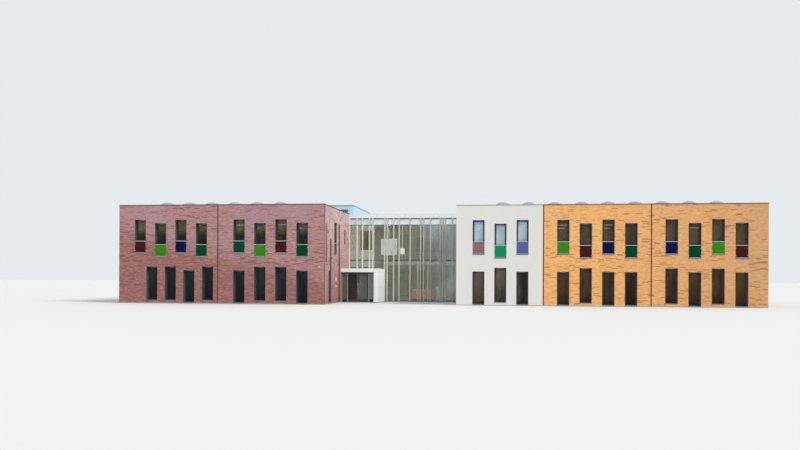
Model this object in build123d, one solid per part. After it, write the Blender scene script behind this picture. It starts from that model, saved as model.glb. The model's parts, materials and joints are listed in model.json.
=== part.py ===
from build123d import *
import os
from dataclasses import dataclass
from math import cos, radians, sin, sqrt

# An after-school care centre, as a model at half its real size: a red-brown brick wing that
# stands forward, a glass hall set far back, a white rendered block and a yellow brick wing.
# All sizes are the model's own, in millimetres. X runs along the front, Y goes back and Z is
# up. Places are worked out from the white block's front left corner on the ground.

# Plan
left_length = 8175
hall_length = 4925
white_length = 3250
right_length = 8075
left_forward = 920
hall_setback = 3970
depth = 10100
wall_thickness = 200

# Levels
ground_level = 30
upper_level = 1815
floor_thickness = 125
roof_level = 3650
roof_thickness = 150
parapet_height = 3825
coping_height = 20
coping_overhang = 15

# Windows, which hang high or low in their row
window_width = 450
window_pitch = 825
window_height = 1320
high_sill = 1920
low_drop = 140
row_spacing = 1810
frame_setback = 150
frame_bar = 32
frame_depth = 40
pane_thickness = 10
upper_sill_height = 45
ground_sill_height = 20
sill_nose = 10
guard_height = 440
guard_thickness = 10
guard_setback = 14
guard_side_gap = 6
rail_size = 24

# Brick left beside the outermost windows of each wing and block
left_margin = 637
left_shifted_bay = 1115
left_shifted_pitch = 750
white_margin = 618
right_inner_margin = 529
right_outer_margin = 698
left_joint_at = 3995
right_joint_at = 3952
end_bay = 1500
end_bay_spacing = 4400
joint_width = 45
joint_depth = 30

# Return wall beside the hall, measured back from the wing's front corner
return_window_at = 1800
return_low_window_at = 800
slot_depth = 50
return_slots = ((320, 515, 1625, 3110), (1025, 1300, 1290, 2550),
                (2645, 2925, 30, 3230), (3805, 4065, 2450, 3080))

# Glass front of the hall
front_bar_depth = 40
glass_step = 5
bottom_bar_height = 40
middle_bar_height = 40
thin_bar_height = 15
spandrel_bottom = 3340
fascia_bottom = 3620
fascia_thickness = 200
fin_width = 50
fin_depth = 60
fin_centres = (-4570, -4330, -4020, -3875, -3240, -2960, -2720, -2240,
               -1785, -1650, -1360, -935, -830, -715, -415)
low_fin_centres = (-1895, -1460)
glass_joint = 4

# Entrance
porch_length = 1550
porch_projection = 1760
porch_clear_height = 1235
porch_roof_thickness = 155
porch_wall_thickness = 165
screen_setback = 100
screen_depth = 50
post_width = 45
left_light_width = 190
right_light_width = 160
head_height = 45
door_gap = 10
door_floor_gap = 6
door_thickness = 30
stile_width = 40
top_rail_height = 45
bottom_rail_height = 100
pivot_inset = 30
pivot_radius = 6
pivot_length = 26
pivot_clearance = 0.3
handle_radius = 8
handle_length = 420
handle_stand_off = 30
handle_height = 560

# Roof lights, in one row behind the front parapets
light_setback = 1500
light_first_right = 1745
light_pitch_right = 1015
lights_right = 9
light_last_left = -7050
light_pitch_left = 945
lights_left = 6
kerb_size = 840
kerb_height = 215
kerb_hole_radius = 350
dome_radius = 480
dome_height = 187
dome_thickness = 8

# Plant room on the left wing's roof
plant_length = 2500
plant_over_hall = 150
plant_front = 5200
plant_height = 675
plant_wall = 60
plant_rear_gap = 200

# Inside the hall
gallery_front = 7320
bridge_length = 1025
partition_setback = 500
partition_thickness = 60
partition_bottom = 1510
partition_top = 3365
partition_window = (380, 970, 2235, 3135)
partition_slot = (0, 105, 2265, 2970)
partition_frame_bar = 30
big_lamp = (-3395, 5520, 360, 2085, 2800)
small_lamp = (-2962, 6920, 108, 2150, 2435)
lamp_wall = 8
lamp_rod_radius = 8
bench_place = (-1855, 5900)
bench_radius = 520
bench_back_thickness = 90
bench_seat_depth = 260
bench_back_height = 520
bench_seat_height = 220
bench_half_angle = 75

# Stair and rails
stair_start = -1220
stair_front = 5220
stair_width = 650
riser_count = 21
going = 125
nosing = 10
tread_thickness = 30
stringer_thickness = 30
stringer_depth = 250
stringer_cover = 60
balustrade_height = 420
balustrade_thickness = 8
handrail_height = 26
handrail_width = 22
landing_gap = 20
gallery_rail_bottom = 1520
gallery_rail_count = 7
gallery_rail_step = 114
gallery_rail_height = 16
gallery_rail_depth = 12
gallery_post_width = 30
gallery_post_depth = 24
gallery_bays = 6

# Lines that follow from the sizes above
left_end = -hall_length - left_length
left_inner = -hall_length
right_end = white_length + right_length
left_front = -left_forward
back_inner = depth - wall_thickness
wall_top = parapet_height - coping_height
roof_bottom = roof_level - roof_thickness
facade_back = hall_setback + front_bar_depth
hall_left = left_inner - wall_thickness
inner_wall_right = white_length + wall_thickness
upper_bottom = upper_level - floor_thickness
porch_front = hall_setback - porch_projection
porch_soffit = ground_level + porch_clear_height
porch_top = porch_soffit + porch_roof_thickness
porch_right = left_inner + porch_length
bay_length = 3 * window_pitch + window_width
left_inner_bay = left_length - left_margin - bay_length
right_outer_bay = right_length - right_outer_margin - bay_length
hall_rear_bay = white_length + hall_length - left_margin - bay_length
centre_x = (left_end + right_end) / 2
centre_y = (left_front + depth) / 2


@dataclass
class Opening:
    """A window hole in its wall's own frame, with its guard's colour."""

    left: float
    bottom: float
    top: float
    guard: str = ""
    sill: float = ground_sill_height
    width: float = window_width

    @property
    def right(self):
        return self.left + self.width


def block(x0, x1, y0, y1, z0, z1):
    """A plain block between two corners."""
    middle = Pos((x0 + x1) / 2, (y0 + y1) / 2, (z0 + z1) / 2)
    return middle * Box(x1 - x0, y1 - y0, z1 - z0)


def profile(points, y0, y1):
    """An outline in X and Z, carried from y0 to y1."""
    face = make_face(Polyline(*[(x, 0, z) for x, z in points], close=True))
    return Pos(0, y1, 0) * extrude(face, amount=y1 - y0, dir=(0, -1, 0))


def save(name, *solids):
    """Move the solids to the part's origin and write them as one node."""
    moved = [Pos(-centre_x, -centre_y, 0) * solid for shape in solids for solid in shape.solids()]
    whole = moved[0] if len(moved) == 1 else Compound(moved)
    export_step(whole, os.path.join("parts", name + ".step"))


def at_wall(x, y, turn, shapes):
    """Place shapes made in a wall's own frame: u along it, v inwards, Z up."""
    return [Pos(x, y, 0) * Rot(0, 0, turn) * shape for shape in shapes]


def upper_row(start, pattern, guards):
    """The upper windows of one bay, each h for high or l for low."""
    row = []
    for place, (letter, guard) in enumerate(zip(pattern, guards)):
        bottom = high_sill - (low_drop if letter == "l" else 0)
        left = start + place * window_pitch
        row.append(Opening(left, bottom, bottom + window_height, guard, upper_sill_height))
    return row


def ground_row(start, pattern, pitch=window_pitch):
    """The ground windows of one bay, which stop at the floor."""
    row = []
    for place, letter in enumerate(pattern):
        bottom = high_sill - row_spacing - (low_drop if letter == "l" else 0)
        left = start + place * pitch
        row.append(Opening(left, max(bottom, ground_level), bottom + window_height))
    return row


def wall(start, end, openings, recesses=()):
    """A wall with its windows cut through and its recesses cut part way."""
    solid = block(start, end, 0, wall_thickness, ground_level, wall_top)
    cuts = [
        block(hole.left, hole.right, -1, wall_thickness + 1, hole.bottom, hole.top)
        for hole in openings
    ]
    cuts += [block(left, right, -1, deep, low, high) for left, right, deep, low, high in recesses]
    return solid - cuts if cuts else solid


def joint_recess(centre):
    """The upright movement joint, a narrow groove over the whole height."""
    half = joint_width / 2
    return (centre - half, centre + half, joint_depth, ground_level - 1, wall_top + 1)


def window_frames(openings):
    """One frame for each opening."""
    frames = []
    for hole in openings:
        back = frame_setback + frame_depth
        outer = block(hole.left, hole.right, frame_setback, back, hole.bottom, hole.top)
        inner = block(
            hole.left + frame_bar, hole.right - frame_bar, frame_setback - 1, back + 1,
            hole.bottom + frame_bar, hole.top - frame_bar,
        )
        frames.append(outer - inner)
    return frames


def window_panes(openings):
    """One pane inside each frame."""
    front = frame_setback + (frame_depth - pane_thickness) / 2
    return [
        block(
            hole.left + frame_bar, hole.right - frame_bar, front, front + pane_thickness,
            hole.bottom + frame_bar, hole.top - frame_bar,
        )
        for hole in openings
    ]


def window_sills(openings):
    """The metal sill in front of each frame."""
    return [
        block(hole.left, hole.right, -sill_nose, frame_setback, hole.bottom, hole.bottom + hole.sill)
        for hole in openings
    ]


def guard_panels(openings, colour):
    """The coloured glass guards of one colour, standing on their sills."""
    return [
        block(
            hole.left + guard_side_gap, hole.right - guard_side_gap,
            guard_setback, guard_setback + guard_thickness,
            hole.bottom + hole.sill, hole.bottom + hole.sill + guard_height,
        )
        for hole in openings
        if hole.guard == colour
    ]


def guard_rails(openings):
    """The rail on top of each guard, from side to side of its opening."""
    front = guard_setback + (guard_thickness - rail_size) / 2
    rails = []
    for hole in openings:
        if hole.guard:
            low = hole.bottom + hole.sill + guard_height
            rails.append(block(hole.left, hole.right, front, front + rail_size, low, low + rail_size))
    return rails


def end_openings(start):
    """Two pairs of windows in each storey of an end wall."""
    rows = []
    for place, guards in ((start, ("maroon", "navy")), (start + end_bay_spacing, ("green", "dark_green"))):
        rows += upper_row(place, "hl", guards) + ground_row(place, "lh")
    return rows


def front_left_openings():
    """The red-brown wing's front, with the shifted ground windows of its outer bay."""
    rows = upper_row(left_margin, "hlhl", ("maroon", "green", "navy", "dark_green"))
    rows += upper_row(left_inner_bay, "hlhl", ("dark_green", "green", "maroon", "dark_green"))
    rows += ground_row(left_shifted_bay, "hhlh", left_shifted_pitch)
    rows += ground_row(left_inner_bay, "lhhl")
    return rows


def front_right_openings():
    """The yellow wing's front."""
    rows = upper_row(right_inner_margin, "hlhl", ("green", "maroon", "navy", "dark_green"))
    rows += upper_row(right_outer_bay, "hlhl", ("navy", "dark_green", "green", "maroon"))
    rows += ground_row(right_inner_margin, "lhll")
    rows += ground_row(right_outer_bay, "hlhl")
    return rows


def white_openings():
    """The white block's front."""
    return upper_row(white_margin, "hlh", ("maroon", "green", "navy")) + ground_row(white_margin, "lhl")


def hall_back_openings():
    """The rear of the hall and the white block, repeating the front's bays."""
    rows = upper_row(left_margin, "hlhl", ("green", "navy", "maroon", "dark_green"))
    rows += ground_row(left_margin, "lhlh")
    rows += upper_row(hall_rear_bay, "hlhl", ("navy", "green", "dark_green", "maroon"))
    rows += ground_row(hall_rear_bay, "lhhl")
    return rows


def back_openings(first, second):
    """The rear of a brick wing, repeating the front's bays."""
    rows = upper_row(first, "hlhl", ("navy", "dark_green", "green", "maroon"))
    rows += upper_row(second, "hlhl", ("dark_green", "maroon", "navy", "green"))
    rows += ground_row(first, "hlhl") + ground_row(second, "lhhl")
    return rows


def return_openings():
    """The two windows beside the hall: one above with a guard, one below."""
    return upper_row(return_window_at, "h", ("navy",)) + ground_row(return_low_window_at, "l")


def outer_walls():
    """Every outer wall: name, place, turn, start, end, openings and recesses."""
    wing_depth = depth + left_forward
    slots = [(a, b, slot_depth, low, high) for a, b, low, high in return_slots]
    return (
        ("left_front_wall", left_end, left_front, 0, 0, left_length,
         front_left_openings(), [joint_recess(left_joint_at)]),
        ("left_end_wall", left_end, depth, -90, wall_thickness, wing_depth - wall_thickness,
         end_openings(end_bay), []),
        ("left_back_wall", left_inner, depth, 180, 0, left_length,
         back_openings(left_margin, left_inner_bay), [joint_recess(left_length - left_joint_at)]),
        ("left_return_wall", left_inner, left_front, 90, wall_thickness,
         facade_back + left_forward, return_openings(), slots),
        ("white_front_wall", 0, 0, 0, 0, white_length, white_openings(), []),
        ("white_side_wall", 0, facade_back, -90, 0, facade_back - wall_thickness,
         [], []),
        ("hall_back_wall", white_length, depth, 180, 0, white_length + hall_length,
         hall_back_openings(), []),
        ("right_front_wall", white_length, 0, 0, 0, right_length, front_right_openings(),
         [(-1, joint_width, joint_depth, ground_level - 1, wall_top + 1),
          joint_recess(right_joint_at)]),
        ("right_end_wall", right_end, 0, 90, wall_thickness, back_inner,
         end_openings(end_bay), []),
        ("right_back_wall", right_end, depth, 180, 0, right_length,
         back_openings(right_inner_margin, right_outer_bay),
         [joint_recess(right_length - right_joint_at)]),
    )


def save_walls():
    """Write the walls, and what fills and trims their windows."""
    frames, panes, sills, rails = [], [], [], []
    guards = {"dark_green": [], "green": [], "maroon": [], "navy": []}
    for name, x, y, turn, start, end, holes, recesses in outer_walls():
        save(name, *at_wall(x, y, turn, [wall(start, end, holes, recesses)]))
        frames += at_wall(x, y, turn, window_frames(holes))
        panes += at_wall(x, y, turn, window_panes(holes))
        sills += at_wall(x, y, turn, window_sills(holes))
        rails += at_wall(x, y, turn, guard_rails(holes))
        for colour, panels in guards.items():
            panels += at_wall(x, y, turn, guard_panels(holes, colour))
    save("window_frames", *frames)
    for colour, panels in guards.items():
        save(colour + "_guards", *panels)
    save("window_panes", *panes)
    save("window_sills", *sills)
    save("guard_rails", *rails)


def save_inner_walls():
    """The two walls that carry the floors beside the hall, up to the gallery."""
    left = block(hall_left, left_inner, facade_back, gallery_front, ground_level, roof_bottom)
    right = block(white_length, inner_wall_right, wall_thickness, gallery_front, ground_level, roof_bottom)
    save("hall_side_walls", left, right)


def save_floors():
    """Ground floors under each part, and the upper floors round the open hall."""
    left = block(left_end, left_inner, left_front, depth, 0, ground_level)
    right = block(0, right_end, 0, depth, 0, ground_level)
    save("wing_ground_floors", left, right)
    hall = block(left_inner, 0, hall_setback, depth, 0, ground_level)
    porch = block(left_inner, porch_right, porch_front, hall_setback, 0, ground_level)
    save("hall_ground_floor", hall + porch)
    levels = (upper_bottom, upper_level)
    left = block(left_end + wall_thickness, hall_left, left_front + wall_thickness, back_inner, *levels)
    white = block(
        wall_thickness, white_length, wall_thickness, stair_front - landing_gap, *levels
    )
    right = block(inner_wall_right, right_end - wall_thickness, wall_thickness, back_inner, *levels)
    save("upper_floors", left, white, right)
    save("gallery_floor", block(hall_left, inner_wall_right, gallery_front, back_inner, *levels))
    landing = block(
        stair_top(), white_length, stair_front - landing_gap, gallery_front, *levels
    )
    bridge = block(left_inner, left_inner + bridge_length, partition_back(), gallery_front, *levels)
    save("hall_landings", landing, bridge)


def roof_light_places():
    """The centres of the roof lights of each wing."""
    right = [light_first_right + place * light_pitch_right for place in range(lights_right)]
    left = [light_last_left - place * light_pitch_left for place in range(lights_left)]
    return [(x, light_setback) for x in right] + [(x, left_front + light_setback) for x in left]


def save_roofs():
    """Roof slabs below the parapets, with a round hole under each roof light."""
    holes = [
        Pos(x, y, roof_level) * Cylinder(kerb_hole_radius, 3 * roof_thickness)
        for x, y in roof_light_places()
    ]
    levels = (roof_bottom, roof_level)
    left = block(left_end + wall_thickness, hall_left, left_front + wall_thickness, back_inner, *levels)
    front = block(
        wall_thickness, right_end - wall_thickness, wall_thickness, facade_back, *levels
    )
    rear = block(
        inner_wall_right, right_end - wall_thickness, facade_back, back_inner, *levels
    )
    save("wing_roofs", left - holes, (front + rear) - holes)
    save("hall_roof", block(hall_left, inner_wall_right, facade_back, back_inner, *levels))


def coping_ring(x0, x1, y0, y1):
    """A flat coping all round a rectangle of walls."""
    over, inset = coping_overhang, wall_thickness + coping_overhang
    outer = block(x0 - over, x1 + over, y0 - over, y1 + over, wall_top, parapet_height)
    inner = block(x0 + inset, x1 - inset, y0 + inset, y1 - inset, wall_top - 1, parapet_height + 1)
    return outer - inner


def save_copings():
    """The copings of both brick wings and of the white walls."""
    over, top = coping_overhang, (wall_top - 2, parapet_height + 2)
    left_ring = coping_ring(left_end, left_inner, left_front, depth)
    left_ring -= block(hall_left - over, left_inner + 2 * over, facade_back, back_inner - over, *top)
    left_ring -= block(left_inner, left_inner + 2 * over, back_inner - over, depth + 2 * over, *top)
    right_ring = coping_ring(white_length, right_end, 0, depth)
    right_ring -= block(
        white_length - 2 * over, inner_wall_right + over, wall_thickness + over,
        back_inner - over, *top
    )
    right_ring -= block(white_length - 2 * over, white_length, -2 * over, depth + 2 * over, *top)
    save("brick_copings", left_ring, right_ring)
    front = block(-over, white_length, -over, wall_thickness + over, wall_top, parapet_height)
    side = block(-over, wall_thickness + over, -over, facade_back, wall_top, parapet_height)
    rear = block(left_inner, white_length, back_inner - over, depth + over, wall_top, parapet_height)
    save("white_copings", front + side, rear)


def save_hall_front():
    """Bars, glass, spandrel panels, fins and the fascia of the hall's glass front."""
    bar_y = (hall_setback, facade_back)
    glass_y = (hall_setback + glass_step, hall_setback + glass_step + pane_thickness)
    bars = [
        (porch_right, 0, ground_level, ground_level + bottom_bar_height),
        (left_inner, 0, upper_level - middle_bar_height, upper_level),
        (left_inner, 0, spandrel_bottom - thin_bar_height, spandrel_bottom),
        (left_inner, 0, fascia_bottom - thin_bar_height, fascia_bottom),
    ]
    save("hall_front_bars", *[block(x0, x1, *bar_y, z0, z1) for x0, x1, z0, z1 in bars])
    middle_bottom = upper_level - middle_bar_height
    spandrel_sill = spandrel_bottom - thin_bar_height
    over_porch = block(left_inner, porch_right - glass_joint, *glass_y, porch_top, middle_bottom)
    beside_porch = block(
        porch_right, 0, *glass_y, ground_level + bottom_bar_height, middle_bottom
    )
    upper = block(left_inner, 0, *glass_y, upper_level, spandrel_sill)
    save("hall_glass", over_porch, beside_porch, upper, *entrance_side_panes())
    save("hall_spandrels", block(left_inner, 0, *glass_y, spandrel_bottom, fascia_bottom - thin_bar_height))
    save_fins(middle_bottom)
    flap = block(left_inner, 0, hall_setback - fin_depth, facade_back, fascia_bottom, roof_level)
    top = block(
        left_inner, 0, hall_setback - fin_depth, hall_setback - fin_depth + fascia_thickness,
        roof_level, wall_top,
    )
    save("hall_fascia", flap + top)


def save_fins(middle_bottom):
    """Pale upright fins in front of the glass, some in the lower storey only."""
    half = fin_width / 2
    front = (hall_setback - fin_depth, hall_setback)
    ends = [left_inner + half, porch_right + half, -half]
    fins = []
    for centre in sorted(list(fin_centres) + ends):
        low = porch_top if centre < porch_right else ground_level
        fins.append(block(centre - half, centre + half, *front, low, fascia_bottom))
    for centre in low_fin_centres:
        fins.append(block(centre - half, centre + half, *front, ground_level, middle_bottom))
    save("hall_fins", *fins)


def entrance_lines():
    """Where the entrance screen's posts and doorway stand, from left to right."""
    left_post = left_inner + post_width + left_light_width
    door_left = left_post + post_width
    right_jamb = porch_right - porch_wall_thickness - post_width
    right_post = right_jamb - right_light_width - post_width
    return left_post, door_left, right_post, right_jamb


def low_panel_top():
    """The top of the dark band at the foot of the doors and side lights."""
    return ground_level + door_floor_gap + bottom_rail_height


def entrance_side_panes():
    """The fixed panes each side of the doors."""
    left_post, _, right_post, right_jamb = entrance_lines()
    middle = porch_front + screen_setback + screen_depth / 2
    glass = (middle - pane_thickness / 2, middle + pane_thickness / 2)
    heights = (low_panel_top(), porch_soffit - head_height)
    return (
        block(left_inner + post_width, left_post, *glass, *heights),
        block(right_post + post_width, right_jamb, *glass, *heights),
    )


def save_porch():
    """The white portal: its roof and its solid side."""
    save("porch_roof", block(left_inner, porch_right, porch_front, facade_back, porch_soffit, porch_top))
    save(
        "porch_side_wall",
        block(
            porch_right - porch_wall_thickness, porch_right, porch_front, facade_back,
            ground_level, porch_soffit,
        ),
    )


def save_entrance():
    """The fixed screen and the two doors of the entrance."""
    left_post, door_left, right_post, right_jamb = entrance_lines()
    front = porch_front + screen_setback
    depths = (front, front + screen_depth)
    head = (porch_soffit - head_height, porch_soffit)
    low_panel = low_panel_top()
    frame = block(left_inner, right_jamb + post_width, *depths, *head)
    for x in (left_inner, left_post, right_post, right_jamb):
        frame += block(x, x + post_width, *depths, ground_level, head[0])
    frame += block(left_inner, left_post, *depths, ground_level, low_panel)
    frame += block(right_post, right_jamb, *depths, ground_level, low_panel)
    save("entrance_frame", frame)
    leaf_length = (right_post - door_left - 3 * door_gap) / 2
    middle = front + screen_depth / 2
    save_door("left", door_left + pivot_inset, middle, 1, leaf_length, head[0])
    save_door("right", right_post - pivot_inset, middle, -1, leaf_length, head[0])
    save_pivots((door_left + pivot_inset, right_post - pivot_inset), middle, head[0])


def save_door(side, pivot_x, middle, way, leaf_length, head_bottom):
    """One glazed leaf, which reaches from its pivot the given way along X."""
    low = ground_level + door_floor_gap
    high = head_bottom - door_floor_gap
    heel = pivot_x - way * (pivot_inset - door_gap)
    toe = heel + way * leaf_length
    faces = (middle - door_thickness / 2, middle + door_thickness / 2)
    x0, x1 = min(heel, toe), max(heel, toe)
    inner = (x0 + stile_width, x1 - stile_width)
    light = (low + bottom_rail_height, high - top_rail_height)
    leaf = block(x0, x1, *faces, low, high)
    leaf -= block(*inner, faces[0] - 1, faces[1] + 1, *light)
    socket = Cylinder(pivot_radius + pivot_clearance, 2 * (pivot_length + pivot_clearance - door_floor_gap))
    leaf -= [Pos(pivot_x, middle, low) * socket, Pos(pivot_x, middle, high) * socket]
    save(side + "_door", leaf)
    glass = (middle - pane_thickness / 2, middle + pane_thickness / 2)
    save(side + "_door_glass", block(*inner, *glass, *light))
    save_handles(side, toe - way * stile_width / 2, faces, low + handle_height)


def save_handles(side, x, faces, z):
    """A long bar handle on each face of a leaf."""
    handles = []
    for face, way in ((faces[0], -1), (faces[1], 1)):
        bar = Pos(x, face + way * handle_stand_off, z) * Cylinder(handle_radius, handle_length)
        for end in (-1, 1):
            foot = Pos(x, face + way * handle_stand_off / 2, z + end * handle_length / 3)
            bar += foot * Rot(90, 0, 0) * Cylinder(handle_radius * 0.7, handle_stand_off)
        handles.append(bar)
    save(side + "_door_handles", *handles)


def save_pivots(places, middle, head_bottom):
    """Floor and head pins that the leaves turn on."""
    pins = []
    for x in places:
        for z, way in ((ground_level, 1), (head_bottom, -1)):
            pins.append(Pos(x, middle, z + way * pivot_length / 2) * Cylinder(pivot_radius, pivot_length))
    save("door_pivots", *pins)


def dome():
    """A clear shell: a cap of a sphere with its hollow side down."""
    base = dome_radius - dome_height
    inner_radius = dome_radius - dome_thickness
    outer_foot = sqrt(dome_radius**2 - base**2)
    inner_foot = sqrt(inner_radius**2 - base**2)
    tilt = radians(45)
    outer_mid = (dome_radius * sin(tilt / 2), dome_radius * cos(tilt / 2) - base)
    inner_mid = (inner_radius * sin(tilt / 2), inner_radius * cos(tilt / 2) - base)
    lines = [
        ThreePointArc((outer_foot, 0), outer_mid, (0, dome_radius - base)),
        Line((0, dome_radius - base), (0, inner_radius - base)),
        ThreePointArc((0, inner_radius - base), inner_mid, (inner_foot, 0)),
        Line((inner_foot, 0), (outer_foot, 0)),
    ]
    return revolve(Plane.XZ * make_face(lines), Axis.Z)


def save_roof_lights():
    """Kerbs round the roof's holes, with a dome on each."""
    kerb = Box(kerb_size, kerb_size, kerb_height) - Cylinder(kerb_hole_radius, 2 * kerb_height)
    places = roof_light_places()
    kerb_middle = roof_level + kerb_height / 2
    save("roof_light_kerbs", *[Pos(x, y, kerb_middle) * kerb for x, y in places])
    shell = dome()
    save("roof_light_domes", *[Pos(x, y, roof_level + kerb_height) * shell for x, y in places])


def save_plant_room():
    """A hollow plant room on the roof, which reaches a little over the hall."""
    top = roof_level + plant_height
    x1 = hall_left + plant_over_hall
    x0 = x1 - plant_length
    y1 = back_inner - plant_rear_gap
    outer = block(x0, x1, plant_front, y1, roof_level, top)
    hollow = block(
        x0 + plant_wall, x1 - plant_wall, plant_front + plant_wall, y1 - plant_wall,
        roof_level - 1, top - plant_wall,
    )
    save("plant_room", outer - hollow)


def partition_back():
    """The rear face of the partition behind the glass."""
    return hall_setback + partition_setback + partition_thickness


def save_partition():
    """The pale partition of the first-floor bridge, with its window."""
    faces = (hall_setback + partition_setback, partition_back())
    panel = block(left_inner, left_inner + bridge_length, *faces, partition_bottom, partition_top)
    cuts = []
    for u0, u1, z0, z1 in (partition_window, partition_slot):
        cuts.append(block(left_inner + u0, left_inner + u1, faces[0] - 1, faces[1] + 1, z0, z1))
    save("hall_partition", panel - cuts)
    u0, u1, z0, z1 = partition_window
    bar = partition_frame_bar
    ring = block(left_inner + u0, left_inner + u1, *faces, z0, z1)
    ring -= block(
        left_inner + u0 + bar, left_inner + u1 - bar, faces[0] - 1, faces[1] + 1, z0 + bar, z1 - bar
    )
    save("partition_window_frame", ring)


def pendant(x, y, radius, low, high):
    """A drum shade, open below, on a rod from the roof."""
    height = high - low
    drum = Pos(x, y, low + height / 2) * Cylinder(radius, height)
    drum -= Pos(x, y, low + (height - lamp_wall) / 2 - 1) * Cylinder(radius - lamp_wall, height - lamp_wall + 2)
    rod = block(x - lamp_rod_radius, x + lamp_rod_radius, y - lamp_rod_radius, y + lamp_rod_radius,
                high - lamp_wall, roof_bottom)
    return drum + rod


def save_bench():
    """The round orange bench: a bent seat in front of a bent back."""
    x, y = bench_place

    def ring(outer, inner, height):
        arc = Cylinder(outer, height, align=(Align.CENTER, Align.CENTER, Align.MIN))
        arc -= Cylinder(inner, 3 * height)
        spread = radians(bench_half_angle)
        reach = 3 * outer
        wedge = Polyline(
            (0, 0), (-reach * sin(spread), -reach * cos(spread)), (0, -reach / cos(spread)),
            (reach * sin(spread), -reach * cos(spread)), close=True,
        )
        return arc & extrude(make_face(wedge), amount=height)

    back = ring(bench_radius, bench_radius - bench_back_thickness, bench_back_height)
    seat = ring(
        bench_radius - bench_back_thickness / 2,
        bench_radius - bench_back_thickness - bench_seat_depth, bench_seat_height,
    )
    save("curved_bench", Pos(x, y, ground_level) * (back + seat))


def stair_top():
    """Where the flight meets its landing."""
    return stair_start + (riser_count - 1) * going


def flight_outline(low, high):
    """An outline that follows the flight, between two heights over its pitch line."""
    rise = (upper_level - ground_level) / riser_count
    slope = rise / going
    foot = stair_start - 2 * nosing

    def line(x, over):
        return ground_level + rise + (x - stair_start) * slope + over

    points = [(stair_top(), line(stair_top(), low)), (stair_top(), line(stair_top(), high))]
    points.append((foot, line(foot, high)))
    if line(foot, low) < ground_level:
        meets = stair_start + (-rise - low) / slope
        points += [(foot, ground_level), (meets, ground_level)]
    else:
        points.append((foot, line(foot, low)))
    return points


def save_stair():
    """Treads between two stringers, with a glass side and a handrail on each."""
    rise = (upper_level - ground_level) / riser_count
    inner = (stair_front + stringer_thickness, stair_front + stair_width - stringer_thickness)
    treads = []
    for step in range(1, riser_count):
        top = ground_level + step * rise
        x1 = stair_start + step * going
        treads.append(block(x1 - going - nosing, x1, *inner, top - tread_thickness, top))
    save("stair_treads", *treads)
    sides = (stair_front + stringer_thickness / 2, stair_front + stair_width - stringer_thickness / 2)
    half = stringer_thickness / 2
    bottom, top = stringer_cover - stringer_depth, stringer_cover
    save("stair_stringers", *[profile(flight_outline(bottom, top), y - half, y + half) for y in sides])
    half = balustrade_thickness / 2
    bottom, top = top, top + balustrade_height
    save("stair_balustrade", *[profile(flight_outline(bottom, top), y - half, y + half) for y in sides])
    half = handrail_width / 2
    bottom, top = top, top + handrail_height
    save("stair_handrails", *[profile(flight_outline(bottom, top), y - half, y + half) for y in sides])


def save_gallery_rails():
    """Level rails on posts along the gallery's front edge."""
    x0, x1 = left_inner + bridge_length, stair_top()
    bar_y = (gallery_front - gallery_post_depth, gallery_front - gallery_post_depth + gallery_rail_depth)
    top = gallery_rail_bottom + (gallery_rail_count - 1) * gallery_rail_step + gallery_rail_height
    step = (x1 - x0 - gallery_post_width) / gallery_bays
    rails = block(x0, x1, *bar_y, top - gallery_rail_height, top)
    for place in range(gallery_rail_count - 1):
        low = gallery_rail_bottom + place * gallery_rail_step
        rails += block(x0, x1, *bar_y, low, low + gallery_rail_height)
    for place in range(gallery_bays + 1):
        x = x0 + place * step
        rails += block(x, x + gallery_post_width, bar_y[0], gallery_front, gallery_rail_bottom, top)
    save("gallery_rails", rails)


def main():
    """Write every node of the building."""
    os.makedirs("parts", exist_ok=True)
    save_walls()
    save_inner_walls()
    save_floors()
    save_roofs()
    save_copings()
    save_hall_front()
    save_porch()
    save_entrance()
    save_roof_lights()
    save_plant_room()
    save_partition()
    save("hall_pendants", pendant(*big_lamp), pendant(*small_lamp))
    save_bench()
    save_stair()
    save_gallery_rails()


main()
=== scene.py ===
import json
import logging
import math
from collections.abc import Callable, Iterable
from dataclasses import dataclass, field, replace
from enum import Enum
from itertools import product

import bmesh
import bpy
from mathutils import Matrix, Vector


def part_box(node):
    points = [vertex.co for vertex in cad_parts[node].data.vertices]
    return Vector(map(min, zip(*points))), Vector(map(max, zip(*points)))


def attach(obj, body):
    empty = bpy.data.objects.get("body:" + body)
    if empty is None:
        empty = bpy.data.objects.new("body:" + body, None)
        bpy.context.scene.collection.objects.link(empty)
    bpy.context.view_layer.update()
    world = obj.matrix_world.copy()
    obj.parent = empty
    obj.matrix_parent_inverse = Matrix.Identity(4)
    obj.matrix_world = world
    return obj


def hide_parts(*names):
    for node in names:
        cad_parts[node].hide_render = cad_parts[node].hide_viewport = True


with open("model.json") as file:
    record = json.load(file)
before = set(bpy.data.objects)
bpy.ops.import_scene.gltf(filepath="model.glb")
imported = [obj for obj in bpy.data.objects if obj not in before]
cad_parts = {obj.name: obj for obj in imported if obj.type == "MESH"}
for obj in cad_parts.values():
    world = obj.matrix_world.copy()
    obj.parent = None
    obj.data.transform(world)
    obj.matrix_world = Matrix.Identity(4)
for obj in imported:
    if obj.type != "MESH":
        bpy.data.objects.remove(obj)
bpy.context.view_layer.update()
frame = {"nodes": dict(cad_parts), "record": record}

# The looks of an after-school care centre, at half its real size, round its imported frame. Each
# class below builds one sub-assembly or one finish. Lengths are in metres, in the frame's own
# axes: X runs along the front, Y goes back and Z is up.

log = logging.getLogger("care_centre")

Colour = tuple[float, float, float, float]
Fade = tuple[Colour, Colour, Colour]  # from the foot up
Span = tuple[float, float]  # a start and a length
Shape = tuple[float, float, float]  # how fine a noise is along X, Y and Z
Box = tuple[Vector, Vector]

BUILDING = "building"
FACE_STEP = 0.0008  # how far thin trims stand proud of the face they lie on
SEAL_OUT = 0.007  # from a door pane's middle plane to the middle of its seal on each face
SEAL_HALF = 0.002  # half the depth of that seal
SEAL_BAR = 0.005  # its width


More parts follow.
